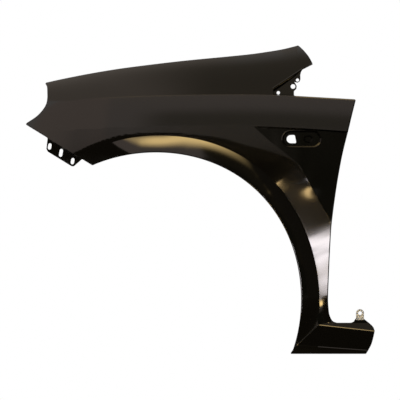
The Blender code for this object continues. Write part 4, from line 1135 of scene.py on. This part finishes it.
def spread(tree, value, low, high):
    """A value from nought to one, spread between two numbers."""
    return add_node(tree, "MapRange", {"Value": value, "To Min": low, "To Max": high}).outputs["Result"]


def blend_colours(tree, value, low, high):
    ends = {"Factor": value, "A": (*low, 1), "B": (*high, 1)}
    return add_node(tree, "Mix", ends, data_type="RGBA").outputs["Result"]


def bump(tree, shader, height, distance, strength):
    node = add_node(tree, "Bump", {"Height": height, "Distance": distance, "Strength": strength})
    tree.links.new(node.outputs["Normal"], shader.inputs["Normal"])


def black_primer():
    """Dipped black primer: nearly black, half glossy, with the faint grain of a sprayed film."""
    material, tree, shader = new_material("black_primer_film")
    shader.inputs["Specular Tint"].default_value = (1.0, 0.93, 0.87, 1)
    colour = blend_colours(tree, noise(tree, 9), (0.0009, 0.0008, 0.0006), (0.0013, 0.0011, 0.0008))
    tree.links.new(colour, shader.inputs["Base Color"])
    tree.links.new(spread(tree, noise(tree, 14, 4), 0.09, 0.12), shader.inputs["Roughness"])
    bump(tree, shader, noise(tree, 700), 0.00004, 0.10)
    return material


def zinc():
    """Bright zinc plating with drawn grain."""
    material, tree, shader = new_material("zinc_plating")
    shader.inputs["Metallic"].default_value = 1.0
    colour = blend_colours(tree, noise(tree, 160, 3), (0.90, 0.91, 0.93), (0.97, 0.97, 0.98))
    tree.links.new(colour, shader.inputs["Base Color"])
    tree.links.new(spread(tree, noise(tree, 500, 3, (1, 1, 0.15)), 0.24, 0.42), shader.inputs["Roughness"])
    bump(tree, shader, noise(tree, 900, 2, (1, 1, 0.2)), 0.00003, 0.3)
    return material


def stage_plane(name, centre, width, height, turn, material):
    """A flat rectangle of the studio, lying flat before its turn about X, Y and Z."""
    sheet = bmesh.new()
    bmesh.ops.create_grid(sheet, x_segments=1, y_segments=1, size=0.5)
    mesh = bpy.data.meshes.new(name)
    sheet.to_mesh(mesh)
    sheet.free()
    mesh.materials.append(material)
    plane = add_object(name, mesh)
    plane.scale = (width, height, 1)
    plane.rotation_euler = [math.radians(angle) for angle in turn]
    plane.location = centre
    return plane


def card(name, centre, width, height, turn, colour, edges=None):
    """A card seen only in gloss, whose sides and ends fade over the given shares of its size."""
    material, tree, shader = new_material(name)
    tree.nodes.remove(shader)
    shown = add_node(tree, "Emission", {"Color": (*colour, 1)}).outputs["Emission"]
    if edges:
        clear = add_node(tree, "BsdfTransparent", {}).outputs["BSDF"]
        mixed = {"Fac": edge_fade(tree, edges), 1: clear, 2: shown}
        shown = add_node(tree, "MixShader", mixed).outputs["Shader"]
    tree.links.new(shown, tree.nodes["Material Output"].inputs["Surface"])
    plane = stage_plane(name, centre, width, height, turn, material)
    plane.visible_camera = False
    plane.visible_diffuse = False
    plane.visible_shadow = False
    plane.visible_transmission = False
    plane.visible_volume_scatter = False


def calculate(tree, operation, *values):
    """A math node on values that are sockets or numbers."""
    return add_node(tree, "Math", dict(enumerate(values)), operation=operation).outputs["Value"]


def edge_fade(tree, edges):
    """One in the middle of a card and nought at its rim."""
    place = add_node(tree, "TexCoord", {}).outputs["Generated"]
    parts = add_node(tree, "SeparateXYZ", {"Vector": place}).outputs
    fades = []
    for axis, edge in zip(("X", "Y"), edges):
        off = calculate(tree, "ABSOLUTE", calculate(tree, "SUBTRACT", parts[axis], 0.5))
        ramp = {"Value": off, "From Min": 0.5, "From Max": 0.5 - edge}
        fades.append(add_node(tree, "MapRange", ramp, interpolation_type="SMOOTHSTEP").outputs["Result"])
    return calculate(tree, "MULTIPLY", *fades)


def softbox(name, start, end, radiance):
    """A rectangular lamp whose long way runs from start to end, turned to face the target."""
    way = Vector(end) - Vector(start)
    centre = (Vector(start) + Vector(end)) / 2
    along = way.normalized()
    back = (centre - LAMP_TARGET).normalized()
    back = (back - along * back.dot(along)).normalized()
    data = bpy.data.lights.new(name, "AREA")
    data.shape = "RECTANGLE"
    data.size = way.length
    data.size_y = LAMP_BREADTH
    data.energy = radiance * math.pi * data.size * data.size_y
    lamp = add_object(name, data)
    lamp.matrix_world = Matrix((along, back.cross(along), back)).transposed().to_4x4()
    lamp.location = centre
    lamp.visible_camera = False
    lamp.visible_glossy = False


def room():
    """White to the camera and in gloss, and a softer light on what it shines on."""
    world = bpy.data.worlds.new("room")
    bpy.context.scene.world = world
    world.use_nodes = True
    tree = world.node_tree
    background = tree.nodes["Background"]
    background.inputs["Color"].default_value = (1, 1, 1, 1)
    path = add_node(tree, "LightPath", {})
    seen = calculate(tree, "MAXIMUM", path.outputs["Is Camera Ray"], path.outputs["Is Glossy Ray"])
    seen = calculate(tree, "MAXIMUM", seen, path.outputs["Is Transmission Ray"])
    tree.links.new(spread(tree, seen, ROOM_LIGHT, 1.0), background.inputs["Strength"])


def studio(lowest):
    """The floor, the flags that keep parts of the paint dark, and the lamps."""
    floor, tree, shader = new_material("pale_floor")
    shader.inputs["Roughness"].default_value = 0.9
    shader.inputs["Specular IOR Level"].default_value = 0.0
    colour = blend_colours(tree, noise(tree, 3), (0.80, 0.80, 0.80), (0.83, 0.83, 0.83))
    tree.links.new(colour, shader.inputs["Base Color"])
    stage_plane("floor", (0, 0, lowest - FLOOR_GAP), FLOOR_SIZE, FLOOR_SIZE, FLAT, floor)
    for name, values in CARDS.items():
        card(name, *values)
    for name, (centre, *values) in FLOOR_CARDS.items():
        card(name, (centre[0], centre[1], lowest + centre[2]), *values)
    for name, values in LAMPS.items():
        softbox(name, *values)


def photo_camera(place):
    data = bpy.data.cameras.new("photo_camera")
    data.type = "ORTHO"
    data.ortho_scale = PHOTO_WIDTH
    camera = add_object("photo_camera", data)
    camera.location = Vector(place) + Vector((PHOTO_MIDDLE[0], -CAMERA_REACH, PHOTO_MIDDLE[1]))
    camera.rotation_euler = (math.radians(90), 0, 0)
    bpy.context.scene.camera = camera


def fixing_tab_sheet():
    """The plated eyelet that stands on the sill tab's outer face."""
    half = FIXING_WIDTH / 2
    angle = np.linspace(0, math.pi, 40)
    head = np.array([FIXING_REACH, FIXING_HEIGHT]) + polar(FIXING_RADIUS, angle)
    low = FIXING_HEIGHT - FIXING_RADIUS - FIXING_FOOT
    foot = np.array([[FIXING_REACH - half, low], [FIXING_REACH + half, low]])
    loop = np.vstack([foot, head])
    hole = round_hole((FIXING_REACH, FIXING_HEIGHT), FIXING_HOLE_RADIUS)
    places, faces = triangulate(loop, [hole], [], HOLE_STEP * 2)
    sheet = bmesh.new()
    out = level(places[:, 0], np.full(len(places), TAB_HEIGHT)) + FIXING_GAP + FIXING_GAUGE
    add_faces(sheet, space(places, -out), faces)
    return sheet


def squeeze(piece):
    """Draws a piece a little thinner in Y, about the middle of the solids' box, to stay inside it."""
    middle = Matrix.Translation((0, BOX_MIDDLE - piece.location.y, 0))
    piece.data.transform(middle @ Matrix.Scale(BOX_SHARE, 4, Vector((0, 1, 0))) @ middle.inverted())


def main():
    sheet, mount = fender_sheet()
    place = [-distance for distance in mount]
    panel = add_piece("pressed_panel", sheet, GAUGE, black_primer(), place)
    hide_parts("fender_panel")
    eyelet = add_piece("sill_eyelet", fixing_tab_sheet(), FIXING_GAUGE, zinc(), place)
    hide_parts("sill_fixing_tab")
    room()
    studio(place[2] - SILL_DROP)
    photo_camera(place)
    bpy.context.scene.view_settings.view_transform = "Standard"
    for piece in (panel, eyelet):
        squeeze(piece)


main()
